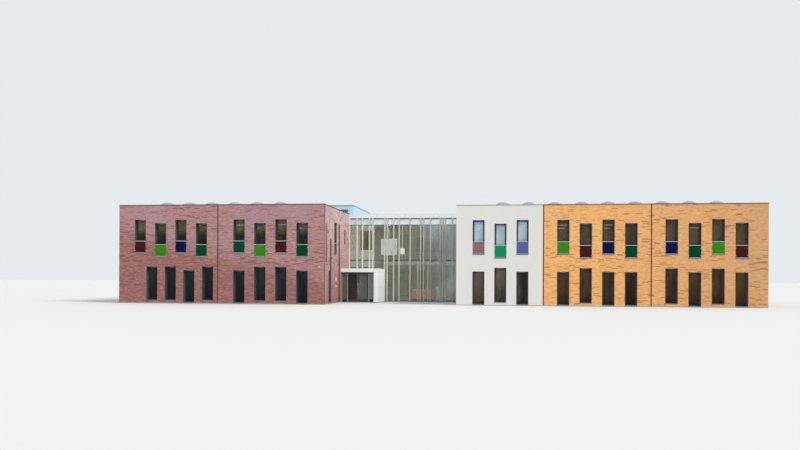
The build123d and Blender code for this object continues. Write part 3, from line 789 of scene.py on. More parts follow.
class Coat(Enum):
    """The finishes of the building, after the record's material slot where that has another name."""

    RED_BRICK = BRICK
    # The return wall's brick paints the light: a near-white top and a dark foot stand for the light on its
    # upper part and the shade at its foot.
    RETURN_BRICK = "red_brick", replace(
        BRICK, upper_cast=tone(255, 232, 230), lower_cast=tone(136, 68, 60), cast=0.5,
        change_height=1.8, change_length=3.4, change_slope=0.0)
    # The yellow brick's far_cast paints the shade towards the right end of its wing.
    YELLOW_BRICK = FacingBrick(
        YELLOW_TONES, tone(216, 168, 112), burnt=tone(166, 102, 50), burnt_share=0.045, burnt_cluster=1.1,
        burnt_band=0.1, far_cast=(0.76, 0.79, 0.98, 1.0),
        upper_cast=tone(244, 178, 106), lower_cast=tone(238, 172, 102), cast=0.25,
        bloom=tone(222, 180, 140), bloom_share=0.3, streak=0.16)
    WHITE_RENDER = Mineral(tone(229, 228, 224), tone(220, 219, 214), streaks=0.3, patch=0.5)
    INNER_PLASTER = Mineral(tone(206, 200, 176), tone(194, 188, 164), relief=0.0006)
    DARK_FRAME = CoatedMetal(tone(42, 45, 53), tone(92, 94, 98), 0.14, 0.38)
    HALL_BAR = "dark_frame", CoatedMetal(tone(104, 110, 106), tone(132, 134, 130), 0.2, 0.38)
    # The window glass paints the rooms' shade and light; its first colour is the one in the hall's rear
    # windows.
    CLEAR_GLASS = RoomGlass(tone(104, 98, 78), tone(110, 100, 80), 0.68, 0.03, shine=0.15)
    HALL_GLASS = "clear_glass", HallGlazing(tone(190, 194, 156), tone(214, 220, 214), 0.09, 0.12, shine=0.8)
    # The two door glasses are copies of one clear glass: the left one painted dark as shade, the right one
    # painted paler as light.
    LEFT_DOOR_GLASS = "clear_glass", Glazing(tone(34, 26, 22), tone(110, 104, 96), 0.55, 0.1, shine=0.2)
    RIGHT_DOOR_GLASS = "clear_glass", Glazing(tone(116, 122, 104), tone(150, 156, 146), 0.42, 0.12)
    GREY_METAL = CoatedMetal(tone(128, 132, 138), tone(108, 106, 102), 0.25, 0.4, 0.3)
    PALE_METAL = CoatedMetal(tone(178, 183, 188), tone(150, 150, 147), 0.15, 0.35, 0.4)
    DARK_GREEN_GLASS = Glazing(tone(0, 66, 38), tone(60, 110, 84), 0.95, 0.04, shine=0.04)
    # The paler tints of these guard glasses paint the light in the white block's windows.
    GREEN_GLASS = Glazing(
        tone(50, 132, 22), tone(120, 160, 90), 0.95, 0.05, shine=0.05, pale=tone(4, 142, 94))
    MAROON_GLASS = Glazing(
        tone(66, 22, 22), tone(110, 80, 80), 0.95, 0.05, shine=0.05, pale=tone(142, 102, 110))
    NAVY_GLASS = Glazing(
        tone(12, 14, 64), tone(70, 70, 110), 0.95, 0.05, shine=0.05, pale=tone(88, 96, 156))
    CONCRETE = Mineral(
        tone(172, 168, 158), tone(160, 156, 148), tone(214, 213, 207), relief=0.0005, roughness=0.6)
    ROOF_SHEET = Mineral(
        tone(150, 150, 148), tone(130, 130, 129), tone(205, 203, 195), grain=240.0, relief=0.002)
    DARK_COPING = CoatedMetal(tone(84, 62, 68), tone(130, 118, 116), 0.25, 0.42, 0.2)
    PALE_COPING = CoatedMetal(tone(160, 168, 178), tone(140, 142, 144), 0.25, 0.4, 0.25)
    FROSTED_GLASS = Glazing(
        tone(220, 255, 255), tone(228, 248, 252), 0.95, 0.1, 0.25, shine=0.5, mirror=0.5)
    # The fins' `dull` share paints the shade on the fins in the right half of the hall.
    PALE_TIMBER = Timber(
        tone(226, 226, 204), tone(200, 198, 172), (70.0, 70.0, 2.2), dull=0.32)
    WHITE_PANEL = CoatedMetal(tone(238, 242, 248), tone(214, 217, 220), 0.2, 0.36)
    # A brighter, bluer copy of the white panel: painted light for the porch's shaded recess, which also
    # offsets the warm light bounced into it.
    PORCH_PANEL = "white_panel", CoatedMetal(tone(250, 254, 255), tone(228, 233, 238), 0.2, 0.36)
    STEEL = BrushedSteel()
    WHITE_PLASTIC = CoatedMetal(tone(222, 223, 220), tone(184, 182, 174), 0.35, 0.45)
    DOME_ACRYLIC = Glazing(
        tone(176, 184, 198), tone(170, 174, 176), 0.55, 0.25, 0.06, shine=0.5)
    BLUE_CLADDING = CoatedMetal(tone(205, 237, 255), tone(180, 204, 220), 0.2, 0.42)
    GREY_PARTITION = Mineral(
        tone(242, 254, 250), tone(234, 246, 242), relief=0.0003, streaks=0.1)
    WHITE_SHADE = Shade(tone(214, 238, 230))
    ORANGE_COVER = Upholstery(tone(254, 110, 44), tone(255, 148, 88))
    STAIR_TIMBER = Timber(tone(186, 160, 124), tone(146, 116, 82), (3.0, 70.0, 70.0))
    WHITE_STEEL = CoatedMetal(tone(206, 204, 194), tone(176, 172, 160), 0.15, 0.4)
    STAIR_GLASS = Glazing(tone(190, 236, 214), tone(206, 226, 214), 0.5, 0.1)
    RUBBER = "dark_frame", CoatedMetal(tone(30, 30, 32), tone(60, 60, 60), 0.3, 0.75)
    JOINT_SEAL = "dark_frame", CoatedMetal(tone(98, 62, 52), tone(120, 90, 76), 0.3, 0.75)
    # The linings' dark tone is partly their own grey and partly painted shade in the reveals.
    REVEAL_SHEET = "grey_metal", CoatedMetal(tone(88, 92, 100), tone(84, 86, 90), 0.2, 0.4, 0.2)
    LAMP_GLOW = "white_plastic", Glow(tone(250, 250, 246), 1.6)
    STRIP_GLOW = "white_plastic", Glow(tone(252, 252, 250), 2.0)
    HALL_GLOW = "white_plastic", Glow(tone(250, 252, 252), 19.5)

    def __init__(self, *parts: "str | Finish") -> None:
        """Keep the finish, and the slot that is given before it or named like this member."""
        self.slot = parts[0] if len(parts) > 1 else self.name.lower()
        self.finish = parts[-1]


class Palette:
    """The finished materials, each made once, when a piece first wears it."""

    def __init__(self) -> None:
        """Start with nothing made."""
        self.made: dict[str, bpy.types.Material] = {}

    def material(self, coat: Coat) -> bpy.types.Material:
        """The material of a finish."""
        return self.special(coat.name.lower(), coat.finish)

    def special(self, name: str, finish: Finish) -> bpy.types.Material:
        """The material of a finish that has its own name."""
        if name not in self.made:
            self.made[name] = bpy.data.materials.new(name)
            paint = Paint(self.made[name])
            paint.done(finish.shader(paint))
        return self.made[name]


PALETTE = Palette()


class Bench:
    """A workbench for one piece: shapes made by operators, handed over as one mesh."""

    def __init__(self) -> None:
        """Start with an empty mesh."""
        self.mesh = bmesh.new()

    def block(self, low: Iterable[float], high: Iterable[float], edge: float = 0.0) -> None:
        """Add a block.

        Args:
            low: Its lowest corner.
            high: Its highest corner.
            edge: The width of the bevel on all its edges, or 0 for sharp ones.
        """
        lowest, highest = Vector(low), Vector(high)
        made = bmesh.ops.create_cube(self.mesh, size=1.0)["verts"]
        bmesh.ops.scale(self.mesh, vec=highest - lowest, verts=made)
        bmesh.ops.translate(self.mesh, vec=(lowest + highest) / 2, verts=made)
        self.bevel({line for vert in made for line in vert.link_edges}, edge)

    def bevel(self, edges: Iterable[bmesh.types.BMEdge], width: float, segments: int = 1) -> None:
        """Bevel some edges by a width, or leave them sharp where it is 0."""
        if width:
            bmesh.ops.bevel(self.mesh, geom=list(edges), offset=width, segments=segments,
                            affect="EDGES", profile=0.5, material=-1)

    def plate(self, x: float, z: float, y: tuple[float, float], half: tuple[float, float],
              edge: float = 0.0) -> None:
        """Add a block round an upright point, between two depths, from half its width and height."""
        self.block((x - half[0], y[0], z - half[1]), (x + half[0], y[1], z + half[1]), edge)

    def ring(self, low: Iterable[float], high: Iterable[float], bar: float, edge: float = 0.0) -> None:
        """Add an upright rectangular frame that faces Y.

        Args:
            low: Its lowest corner.
            high: Its highest corner.
            bar: The width of its four bars.
            edge: The width of the bevel on its edges, or 0.
        """
        lowest, highest = Vector(low), Vector(high)
        size, middle = highest - lowest, (lowest + highest) / 2
        made = bmesh.ops.create_grid(self.mesh, x_segments=1, y_segments=1, size=0.5)["verts"]
        pane = made[0].link_faces[0]
        bmesh.ops.scale(self.mesh, vec=(size.x, size.z, 1.0), verts=made)
        bmesh.ops.rotate(self.mesh, matrix=Matrix.Rotation(math.pi / 2, 3, "X"), verts=made)
        bmesh.ops.translate(self.mesh, vec=(middle.x, lowest.y, middle.z), verts=made)
        bars = bmesh.ops.inset_region(self.mesh, faces=[pane], thickness=bar, use_boundary=True)["faces"]
        bmesh.ops.delete(self.mesh, geom=[pane], context="FACES")
        grown = bmesh.ops.extrude_face_region(self.mesh, geom=bars)["geom"]
        moved = [part for part in grown if isinstance(part, bmesh.types.BMVert)]
        bmesh.ops.translate(self.mesh, vec=(0.0, size.y, 0.0), verts=moved)
        faces = list({face for vert in moved for face in vert.link_faces} | set(bars))
        bmesh.ops.recalc_face_normals(self.mesh, faces=faces)
        lines = {line for face in faces for line in face.edges}
        self.bevel([line for line in lines if line.calc_face_angle(0.0) > 1.0], edge)

    def seals(self, low: Vector, high: Vector, middle: float) -> None:
        """Add the thin frames that seal a pane on both faces, round its middle plane."""
        for y in (middle - SEAL_OUT, middle + SEAL_OUT):
            self.ring((low.x, y - SEAL_HALF, low.z), (high.x, y + SEAL_HALF, high.z), SEAL_BAR)

    def rod(self, start: Iterable[float], end: Iterable[float], radius: float, sides: int,
            end_radius: float | None = None) -> None:
        """Add a round rod or cone from one point to another."""
        first, last = Vector(start), Vector(end)
        run = last - first
        tip = radius if end_radius is None else end_radius
        made = bmesh.ops.create_cone(
            self.mesh, cap_ends=True, cap_tris=False, segments=sides, radius1=radius, radius2=tip,
            depth=run.length,
        )["verts"]
        turn = Vector((0, 0, 1)).rotation_difference(run).to_matrix()
        bmesh.ops.rotate(self.mesh, matrix=turn, verts=made)
        bmesh.ops.translate(self.mesh, vec=(first + last) / 2, verts=made)

    def stud(self, x: float, face: float, z: float, reach: float, radius: float, sides: int) -> None:
        """Add a round stud that stands out of an upright face along Y."""
        self.rod((x, face, z), (x, face + reach, z), radius, sides)

    def tube(self, radii: tuple[float, float], levels: tuple[float, float], centre: Iterable[float],
             steps: int) -> None:
        """Add a ring with a square section, from two radii and two levels over its centre."""
        (inner, outer), (low, high) = radii, levels
        self.lathe([(inner, low), (outer, low), (outer, high), (inner, high)], centre, steps)

    def arc(self, radii: tuple[float, float], levels: tuple[float, float], centre: Vector,
            spread: float, steps: int) -> None:
        """Add a curved bar round a centre, as far to each side of the front as the spread."""
        (inner, outer), (low, high) = radii, levels
        corners = ((inner, low), (outer, low), (outer, high), (inner, high))
        face = self.mesh.faces.new([
            self.mesh.verts.new(centre + Vector((r * math.sin(-spread), -r * math.cos(spread), z)))
            for r, z in corners
        ])
        bmesh.ops.spin(self.mesh, geom=[face, *face.edges, *face.verts], cent=centre, axis=(0, 0, 1),
                       angle=2 * spread, steps=steps, use_merge=False)
        bmesh.ops.recalc_face_normals(self.mesh, faces=self.mesh.faces)

    def lathe(self, outline: Iterable[tuple[float, float]], centre: Iterable[float], steps: int) -> None:
        """Turn an outline of radius and height about an upright axis.

        Args:
            outline: Points as radius and height over the centre.
            centre: The foot of the axis.
            steps: Steps in a full turn.
        """
        foot = Vector(centre)
        points = [self.mesh.verts.new(foot + Vector((r, 0.0, h))) for r, h in outline]
        lines = [self.mesh.edges.new(pair) for pair in zip(points, points[1:] + points[:1])]
        spun = bmesh.ops.spin(self.mesh, geom=points + lines, cent=foot, axis=(0, 0, 1),
                              angle=2 * math.pi, steps=steps, use_merge=True)
        touched = {face for part in spun["geom_last"] if isinstance(part, bmesh.types.BMVert)
                   for face in part.link_faces}
        island = self._grown(touched)
        bmesh.ops.recalc_face_normals(self.mesh, faces=list(island))

    @staticmethod
    def _grown(faces: set) -> set:
        """Every face joined to the given ones."""
        found, edge = set(faces), list(faces)
        while edge:
            face = edge.pop()
            for line in face.edges:
                for other in line.link_faces:
                    if other not in found:
                        found.add(other)
                        edge.append(other)
        return found

    def stamp(self, pattern: "Bench", places: Iterable[Matrix]) -> None:
        """Copy another bench's shapes in, once at each place, and clear that bench away."""
        shape = bpy.data.meshes.new("pattern")
        pattern.mesh.to_mesh(shape)
        for place in places:
            copy = shape.copy()
            copy.transform(place)
            self.mesh.from_mesh(copy)
            bpy.data.meshes.remove(copy)
        bpy.data.meshes.remove(shape)
        pattern.mesh.free()

    def hand_over(self, name: str, coat: Coat, body: str = BUILDING, smooth: bool = False
                  ) -> bpy.types.Object:
        """Turn the mesh into a piece that wears a finish and rides on a body.

        Args:
            name: The piece's name.
            coat: Its finish.
            body: The body that it moves with.
            smooth: Whether its faces are shaded as one round surface.

        Returns:
            The finished piece.
        """
        shape = bpy.data.meshes.new(name)
        self.mesh.to_mesh(shape)
        self.mesh.free()
        shape.materials.append(PALETTE.material(coat))
        for face in shape.polygons:
            face.use_smooth = smooth
        piece = bpy.data.objects.new(name, shape)
        bpy.context.scene.collection.objects.link(piece)
        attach(piece, body)
        log.info("%s: %d faces on %s", name, len(shape.polygons), body)
        return piece


def middles(low: float, high: float, count: int) -> list[float]:
    """The middles of equal parts between two ends."""
    return [low + (place + 0.5) * (high - low) / count for place in range(count)]


def divisions(low: float, high: float, count: int) -> list[float]:
    """The points between equal parts of the way between two ends."""
    return [low + place * (high - low) / count for place in range(1, count)]


def stepped(start: float, end: float, step: float) -> list[float]:
    """Places a step apart, from a start up to an end."""
    places = []
    while start < end:
        places.append(start)
        start += step
    return places


def solids(node: str) -> list[Box]:
    """The boxes of a node's separate solids.

    Args:
        node: The node's name.

    Returns:
        The lowest and highest corner of each solid, from left to right.
    """
    shape = bmesh.new()
    shape.from_mesh(frame["nodes"][node].data)
    bmesh.ops.remove_doubles(shape, verts=shape.verts, dist=1e-5)
    left, boxes = set(shape.verts), []
    while left:
        queue, corners = [left.pop()], []
        while queue:
            vert = queue.pop()
            corners.append(vert.co.copy())
            for line in vert.link_edges:
                other = line.other_vert(vert)
                if other in left:
                    left.remove(other)
                    queue.append(other)
        low = Vector(tuple(min(corner[axis] for corner in corners) for axis in range(3)))
        high = Vector(tuple(max(corner[axis] for corner in corners) for axis in range(3)))
        boxes.append((low, high))
    shape.free()
    return sorted(boxes, key=lambda box: (round(box[0].x, 4), round(box[0].y, 4), box[0].z))


@dataclass(frozen=True)
class Opening:
    """A window's hole: its lower left corner on the outer face, as seen from outside."""

    corner: Vector
    facing: Facing
    width: float
    height: float

    @property
    def upper(self) -> bool:
        """Whether it is on the upper storey."""
        return self.corner.z > 1.5

    @property
    def place(self) -> Matrix:
        """The way from its own axes (along, inwards, up) to the frame's."""
        return Matrix.Translation(self.corner) @ self.facing.turn


@dataclass(frozen=True)
class Wall:
    """One of the frame's outer walls, with the side it faces and its outer finish."""

    node: str
    facing: Facing
    skin: Coat

    @property
    def box(self) -> Box:
        """Its lowest and highest corner."""
        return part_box(self.node)

    @property
    def corner(self) -> Vector:
        """The foot of its outer face at the left, as seen from outside."""
        low, high = self.box
        x = low.x if self.facing in (Facing.FRONT, Facing.LEFT) else high.x
        y = low.y if self.facing in (Facing.FRONT, Facing.RIGHT) else high.y
        return Vector((x, y, low.z))

    @property
    def length(self) -> float:
        """How far it runs."""
        low, high = self.box
        return high.x - low.x if self.facing in (Facing.FRONT, Facing.BACK) else high.y - low.y

    @property
    def height(self) -> float:
        """How high it is."""
        return self.box[1].z - self.corner.z

    @property
    def face(self) -> float:
        """How far along its inward direction its outer face lies."""
        return self.corner.dot(self.facing.inwards)

    def own(self, point: Vector) -> Vector:
        """A point in the wall's own axes, from its left foot."""
        return (self.facing.turn.inverted() @ (point - self.corner)).to_3d()

    def place(self) -> Matrix:
        """The way from the wall's own axes to the frame's."""
        return Matrix.Translation(self.corner) @ self.facing.turn

    def openings(self, frames: list[Box]) -> list[Opening]:
        """The holes that hold one of the given window frames.

        Args:
            frames: The boxes of all window frames.

        Returns:
            This wall's openings.
        """
        found = []
        for low, high in frames:
            near, far = sorted((self.own(low), self.own(high)), key=lambda point: point.x)
            depth = (near.y + far.y) / 2
            if not (-0.01 < depth < self.thickness and near.x > -0.01 and far.x < self.length + 0.01):
                continue
            if abs(far.x - near.x) < abs(far.y - near.y):
                continue
            corner = self.place() @ Vector((near.x, 0.0, low.z - self.corner.z))
            found.append(Opening(corner, self.facing, far.x - near.x, high.z - low.z))
        return found

    @property
    def thickness(self) -> float:
        """How thick it is."""
        low, high = self.box
        return high.y - low.y if self.facing in (Facing.FRONT, Facing.BACK) else high.x - low.x

    def dress(self) -> None:
        """Give the wall its outer skin and inner plaster."""
        skin = WallSkin(self.skin.finish, Coat.INNER_PLASTER.finish, self.facing, self.face)
        dress_node(self.node, PALETTE.special(self.node + "_skin", skin))


WALLS = (
    Wall("left_front_wall", Facing.FRONT, Coat.RED_BRICK),
    Wall("left_end_wall", Facing.LEFT, Coat.RED_BRICK),
    Wall("left_back_wall", Facing.BACK, Coat.RED_BRICK),
    Wall("left_return_wall", Facing.RIGHT, Coat.RETURN_BRICK),
    Wall("white_front_wall", Facing.FRONT, Coat.WHITE_RENDER),
    Wall("white_side_wall", Facing.LEFT, Coat.WHITE_RENDER),
    Wall("hall_back_wall", Facing.BACK, Coat.WHITE_RENDER),
    Wall("right_front_wall", Facing.FRONT, Coat.YELLOW_BRICK),
    Wall("right_end_wall", Facing.RIGHT, Coat.YELLOW_BRICK),
    Wall("right_back_wall", Facing.BACK, Coat.YELLOW_BRICK),
)


def dress_node(node: str, material: bpy.types.Material) -> None:
    """Give a node of the frame a better material, in the slots it already has."""
    for slot in frame["nodes"][node].material_slots:
        slot.material = material


FINER_COATS = {
    "hall_glass": Coat.HALL_GLASS, "left_door_glass": Coat.LEFT_DOOR_GLASS,
    "right_door_glass": Coat.RIGHT_DOOR_GLASS,
    "porch_roof": Coat.PORCH_PANEL, "porch_side_wall": Coat.PORCH_PANEL,
    "hall_front_bars": Coat.HALL_BAR,
}


def dress_frame() -> None:
    """Give every node its finish, after its slot in the record."""
    walls = {wall.node for wall in WALLS}
    for part in frame["record"]["subparts"]:
        node = part["node"]
        if node in walls or node not in frame["nodes"]:
            continue
        coat = FINER_COATS.get(node, Coat[part["material_slot"].upper()])
        dress_node(node, PALETTE.material(coat))
    for wall in WALLS:
        wall.dress()
    log.info("dressed %d nodes", len(frame["nodes"]))


@dataclass
class WindowDetails:
    """Sashes, gaskets, reveal linings and small fittings of every window."""

    setback: float = 0.15
    frame_bar: float = 0.032
    frame_depth: float = 0.04
    sash_bar: float = 0.03
    sash_depth: float = 0.027
    sash_inset: float = 0.006
    gasket: float = 0.004
    gasket_inset: float = 0.003
    gap_seal: float = 0.003
    lining: float = 0.003
    upper_sill: float = 0.045
    ground_sill: float = 0.02
    sill_end: float = 0.01
    drip: float = 0.012
    rear_fold: tuple[float, float] = (0.004, 0.008)
    handle_share: float = 0.45
    handle_plate: tuple[float, float] = (0.006, 0.03)
    handle_reach: float = 0.014
    handle_stem: float = 0.0035
    lever: float = 0.06
    hinge_shares: tuple[float, float] = (0.12, 0.88)
    hinge_half: float = 0.02
    hinge_radius: float = 0.004
    vent_inset: float = 0.12
    vent_half: float = 0.005
    vent_depth: float = 0.004
    guard_height: float = 0.44
    guard_from: float = 0.014
    clamp_front: float = 0.006
    clamp_back: float = 0.016
    channel_inset: float = 0.002
    channel_height: float = 0.012
    clamp_shares: tuple[float, float] = (0.2, 0.78)
    clamp_width: float = 0.02
    clamp_half: float = 0.014

    def sill(self, hole: Opening) -> float:
        """How high the sill stands in an opening."""
        return self.upper_sill if hole.upper else self.ground_sill

    @staticmethod
    def ring(bench: Bench, hole: Opening, inset: float, front: float, depth: float, bar: float,
             edge: float = 0.0) -> None:
        """Add a frame that is set in from the opening's edges by the same width all round."""
        bench.ring((inset, front, inset), (hole.width - inset, front + depth, hole.height - inset), bar, edge)

    def sash(self, bench: Bench, hole: Opening) -> None:
        """The opening sash inside the frame."""
        front = self.setback + self.sash_inset
        self.ring(bench, hole, self.frame_bar, front, self.sash_depth, self.sash_bar, 0.0015)

    def seals(self, bench: Bench, hole: Opening) -> None:
        """The rubber between sash and glass, and the gap seal round the sash."""
        front = self.setback + self.sash_inset + self.gasket_inset
        self.ring(bench, hole, self.frame_bar + self.sash_bar, front,
                  self.sash_depth - 2 * self.gasket_inset, self.gasket)
        self.ring(bench, hole, self.frame_bar - 0.001, self.setback + 0.004, 0.004, self.gap_seal)

    def lining_sheets(self, bench: Bench, hole: Opening) -> None:
        """The folded sheets on both jambs and under the head."""
        front, inner = 0.003, hole.width - self.lining
        for left in (0.0, inner):
            bench.block((left, front, self.sill(hole)), (left + self.lining, self.setback, hole.height))
        bench.block((self.lining, front, hole.height - self.lining), (inner, self.setback, hole.height))

    def fittings(self, bench: Bench, hole: Opening) -> None:
        """The handle inside, two hinge barrels and the vent in the head of the frame."""
        right = hole.width - self.frame_bar - self.sash_bar / 2
        back = self.setback + self.frame_depth - 0.007
        middle = hole.height * self.handle_share
        lever = back + self.handle_reach
        bench.plate(right, middle, (back, back + 0.004), self.handle_plate, 0.001)
        bench.stud(right, back + 0.004, middle, self.handle_reach, self.handle_stem, 8)
        bench.block((right - self.lever, lever, middle - 0.004),
                    (right + 0.004, lever + 0.007, middle + 0.004), 0.0015)
        for height in (hole.height * share for share in self.hinge_shares):
            bench.rod((self.frame_bar, back, height - self.hinge_half),
                      (self.frame_bar, back, height + self.hinge_half), self.hinge_radius, 8)
        depths = (self.setback - self.vent_depth, self.setback)
        bench.plate(hole.width / 2, hole.height - self.frame_bar / 2, depths,
                    (hole.width / 2 - self.vent_inset, self.vent_half), 0.001)

    def sill_trims(self, bench: Bench, hole: Opening) -> None:
        """Turned-up ends and the drip fold of the sill."""
        sill, thick = self.sill(hole), 0.003
        for left in (self.lining, hole.width - self.lining - thick):
            bench.block((left, -0.009, sill), (left + thick, self.setback, sill + self.sill_end))
        bench.block((0.0, -0.0118, sill - self.drip), (hole.width, -0.01, sill + 0.0015))
        depth, height = self.rear_fold
        bench.block((0.0, self.setback - depth, sill), (hole.width, self.setback, sill + height))

    def guard_fixings(self, bench: Bench, hole: Opening) -> None:
        """Clamps at the sides of the guard, and the channel that its foot stands in."""
        front, back = self.guard_from - self.clamp_front, self.guard_from + self.clamp_back
        sides = (self.lining, hole.width - self.lining - self.clamp_width)
        for left, share in product(sides, self.clamp_shares):
            height = self.upper_sill + self.guard_height * share
            bench.block((left, front, height - self.clamp_half),
                        (left + self.clamp_width, back, height + self.clamp_half), 0.002)
        front, back, top = front + self.channel_inset, back - self.channel_inset, self.channel_height
        bench.block((self.lining, front, self.upper_sill),
                    (hole.width - self.lining, back, self.upper_sill + top))

    def build(self, holes: list[Opening]) -> None:
        """Build the details of all windows, one joined piece of each kind.

        Args:
            holes: All the window openings.
        """
        guarded = [hole for hole in holes if hole.upper]
        kinds = (
            ("window_sashes", self.sash, holes, Coat.DARK_FRAME),
            ("window_seals", self.seals, holes, Coat.RUBBER),
            ("window_linings", self.lining_sheets, holes, Coat.REVEAL_SHEET),
            ("window_fittings", self.fittings, holes, Coat.STEEL),
            ("sill_trims", self.sill_trims, holes, Coat.GREY_METAL),
            ("guard_fixings", self.guard_fixings, guarded, Coat.PALE_METAL),
        )
        for name, shape, where, coat in kinds:
            whole = Bench()
            for size in sorted({(round(hole.height, 4), hole.upper) for hole in where}):
                same = [hole for hole in where if (round(hole.height, 4), hole.upper) == size]
                pattern = Bench()
                shape(pattern, same[0])
                whole.stamp(pattern, [hole.place for hole in same])
            whole.hand_over(name, coat)


@dataclass
class WallTrims:
    """Sealed movement joints, weep vents, wall plates and the lamp on the corner."""

    joint_half: float = 0.022
    joint_depths: tuple[float, float] = (0.018, 0.03)
    joints: dict[str, tuple[float, ...]] = field(default_factory=lambda: {
        "left_front_wall": (3.995,), "left_back_wall": (8.175 - 3.995,),
        "right_front_wall": (0.0222, 3.952), "right_back_wall": (8.075 - 3.952,),
    })
    vent_step: float = 0.6
    vent_heights: tuple[float, float] = (0.093, 1.705)
    vent_clear: float = 0.03
    vent_below: float = 0.04
    vent_half: float = 0.0035
    vent_top: float = 0.028
    slot_half: float = 0.0025
    slots: tuple[float, ...] = (0.005, 0.012, 0.019)
    plates: tuple[tuple[float, float], ...] = ((0.96, 0.078), (0.7, 0.048))
    plate_from_front: float = 2.165
    plate_steps: tuple[tuple[float, float, float], ...] = ((0.006, 1.0, 1.0), (0.016, 0.76, 0.62))
    lamp_from_corner: float = 0.195
    lamp_height: float = 1.43
    lamp_half: tuple[float, float] = (0.021, 0.026)
    lamp_base: float = 0.006
    lamp_nose: float = 0.007
    nose_radii: tuple[float, float] = (0.016, 0.012)

    def seal_joints(self) -> None:
        """Fill each groove with a dark, slightly sunk seal."""
        bench = Bench()
        front, back = self.joint_depths
        for wall in WALLS:
            for middle in self.joints.get(wall.node, ()):
                pattern = Bench()
                left, right = middle - self.joint_half, middle + self.joint_half
                pattern.block((left, front, 0.0), (right, back, wall.height))
                bench.stamp(pattern, [wall.place()])
        bench.hand_over("movement_joint_seals", Coat.JOINT_SEAL)

    def weep_vents(self, holes: list[Opening]) -> None:
        """Small grilles in the upright joints of the brick, low down and between the storeys."""
        pattern = Bench()
        pattern.block((-self.vent_half, -FACE_STEP, 0.0), (self.vent_half, 0.004, self.vent_top), 0.0005)
        half = self.slot_half
        for low in self.slots:
            pattern.block((-half, -2 * FACE_STEP, low), (half, 0.0, low + half))
        places = []
        for wall in WALLS:
            if wall.skin == Coat.WHITE_RENDER:
                continue
            taken = [(wall.own(hole.corner).x, hole) for hole in holes if hole.facing == wall.facing]
            along = middles(0.0, wall.length, int(wall.length / self.vent_step))
            for middle, height in product(along, self.vent_heights):
                level = wall.corner.z + height
                blocked = any(
                    near - self.vent_clear < middle < near + hole.width + self.vent_clear
                    and hole.corner.z - self.vent_below < level < hole.corner.z + hole.height
                    for near, hole in taken
                )
                if not blocked:
                    places.append(wall.place() @ Matrix.Translation((middle, 0.0, height)))
        bench = Bench()
        bench.stamp(pattern, places)
        bench.hand_over("weep_vents", Coat.RUBBER)

    def wall_fittings(self) -> None:
        """Two round plates on the return wall and a small lamp on the front's corner."""
        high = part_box("left_return_wall")[1]
        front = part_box("left_front_wall")[0].y
        bench = Bench()
        for height, radius in self.plates:
            foot = Vector((high.x, front + self.plate_from_front, height))
            for out, wide, narrow in self.plate_steps:
                bench.rod(foot, foot + Vector((out, 0, 0)), radius * wide, 32, radius * narrow)
        x, z = high.x - self.lamp_from_corner, self.lamp_height
        face, (wide, narrow) = front - self.lamp_base, self.nose_radii
        bench.plate(x, z, (face, front), self.lamp_half, 0.002)
        bench.rod((x, face, z + 0.004), (x, face - self.lamp_nose, z + 0.004), wide, 20, narrow)
        bench.hand_over("wall_plates_and_lamp", Coat.WHITE_PLASTIC)

    def build(self, holes: list[Opening]) -> None:
        """Build all of the trims on the walls."""
        self.seal_joints()
        self.weep_vents(holes)
        self.wall_fittings()


@dataclass
class CopingTrims:
    """Joint covers across the copings, and the upstand sheets inside the parapets."""

    width: float = 0.23
    overhang: float = 0.015
    strap: float = 0.03
    step: float = 1.25
    inside: float = 0.2
    upstand: float = 0.003
    fillet: float = 0.08
    roof_level: float = 3.65

    def build(self) -> None:
        """Lay the covers along every outer wall."""
        benches = {Coat.DARK_COPING: Bench(), Coat.PALE_COPING: Bench()}
        sheets = Bench()
        for wall in WALLS:
            coat = Coat.PALE_COPING if wall.skin == Coat.WHITE_RENDER else Coat.DARK_COPING
            benches[coat].stamp(self.covers(wall), [wall.place()])
            if wall.node not in ("left_return_wall", "white_side_wall"):
                sheets.stamp(self.upstands(wall), [wall.place()])
        benches[Coat.DARK_COPING].hand_over("brick_coping_joints", Coat.DARK_COPING)
        benches[Coat.PALE_COPING].hand_over("white_coping_joints", Coat.PALE_COPING)
        sheets.hand_over("parapet_upstands", Coat.ROOF_SHEET)

    def covers(self, wall: Wall) -> Bench:
        """The straps over a wall's coping joints and the drip along its front, in the wall's axes."""
        bench = Bench()
        top, under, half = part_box("brick_copings")[1].z - wall.corner.z, wall.height, self.strap / 2
        front, back = -self.overhang, self.width - self.overhang
        for middle in divisions(0.0, wall.length, max(2, round(wall.length / self.step))):
            bench.block((middle - half, front + 0.0006, under + 0.001),
                        (middle + half, back, top + FACE_STEP), 0.0004)
        bench.block((0.0, front + 0.0002, under - 0.004), (wall.length, front + 0.0015, under + 0.001))
        return bench

    def upstands(self, wall: Wall) -> Bench:
        """The sheet inside a parapet and the flat one at its foot, in the wall's axes."""
        bench = Bench()
        start, end, level = self.inside, wall.length - self.inside, self.roof_level - wall.corner.z
        bench.block((start, start, level), (end, start + self.upstand, wall.height - 0.006))
        bench.block((start, start, level), (end, start + self.fillet, level + 0.004))
        return bench


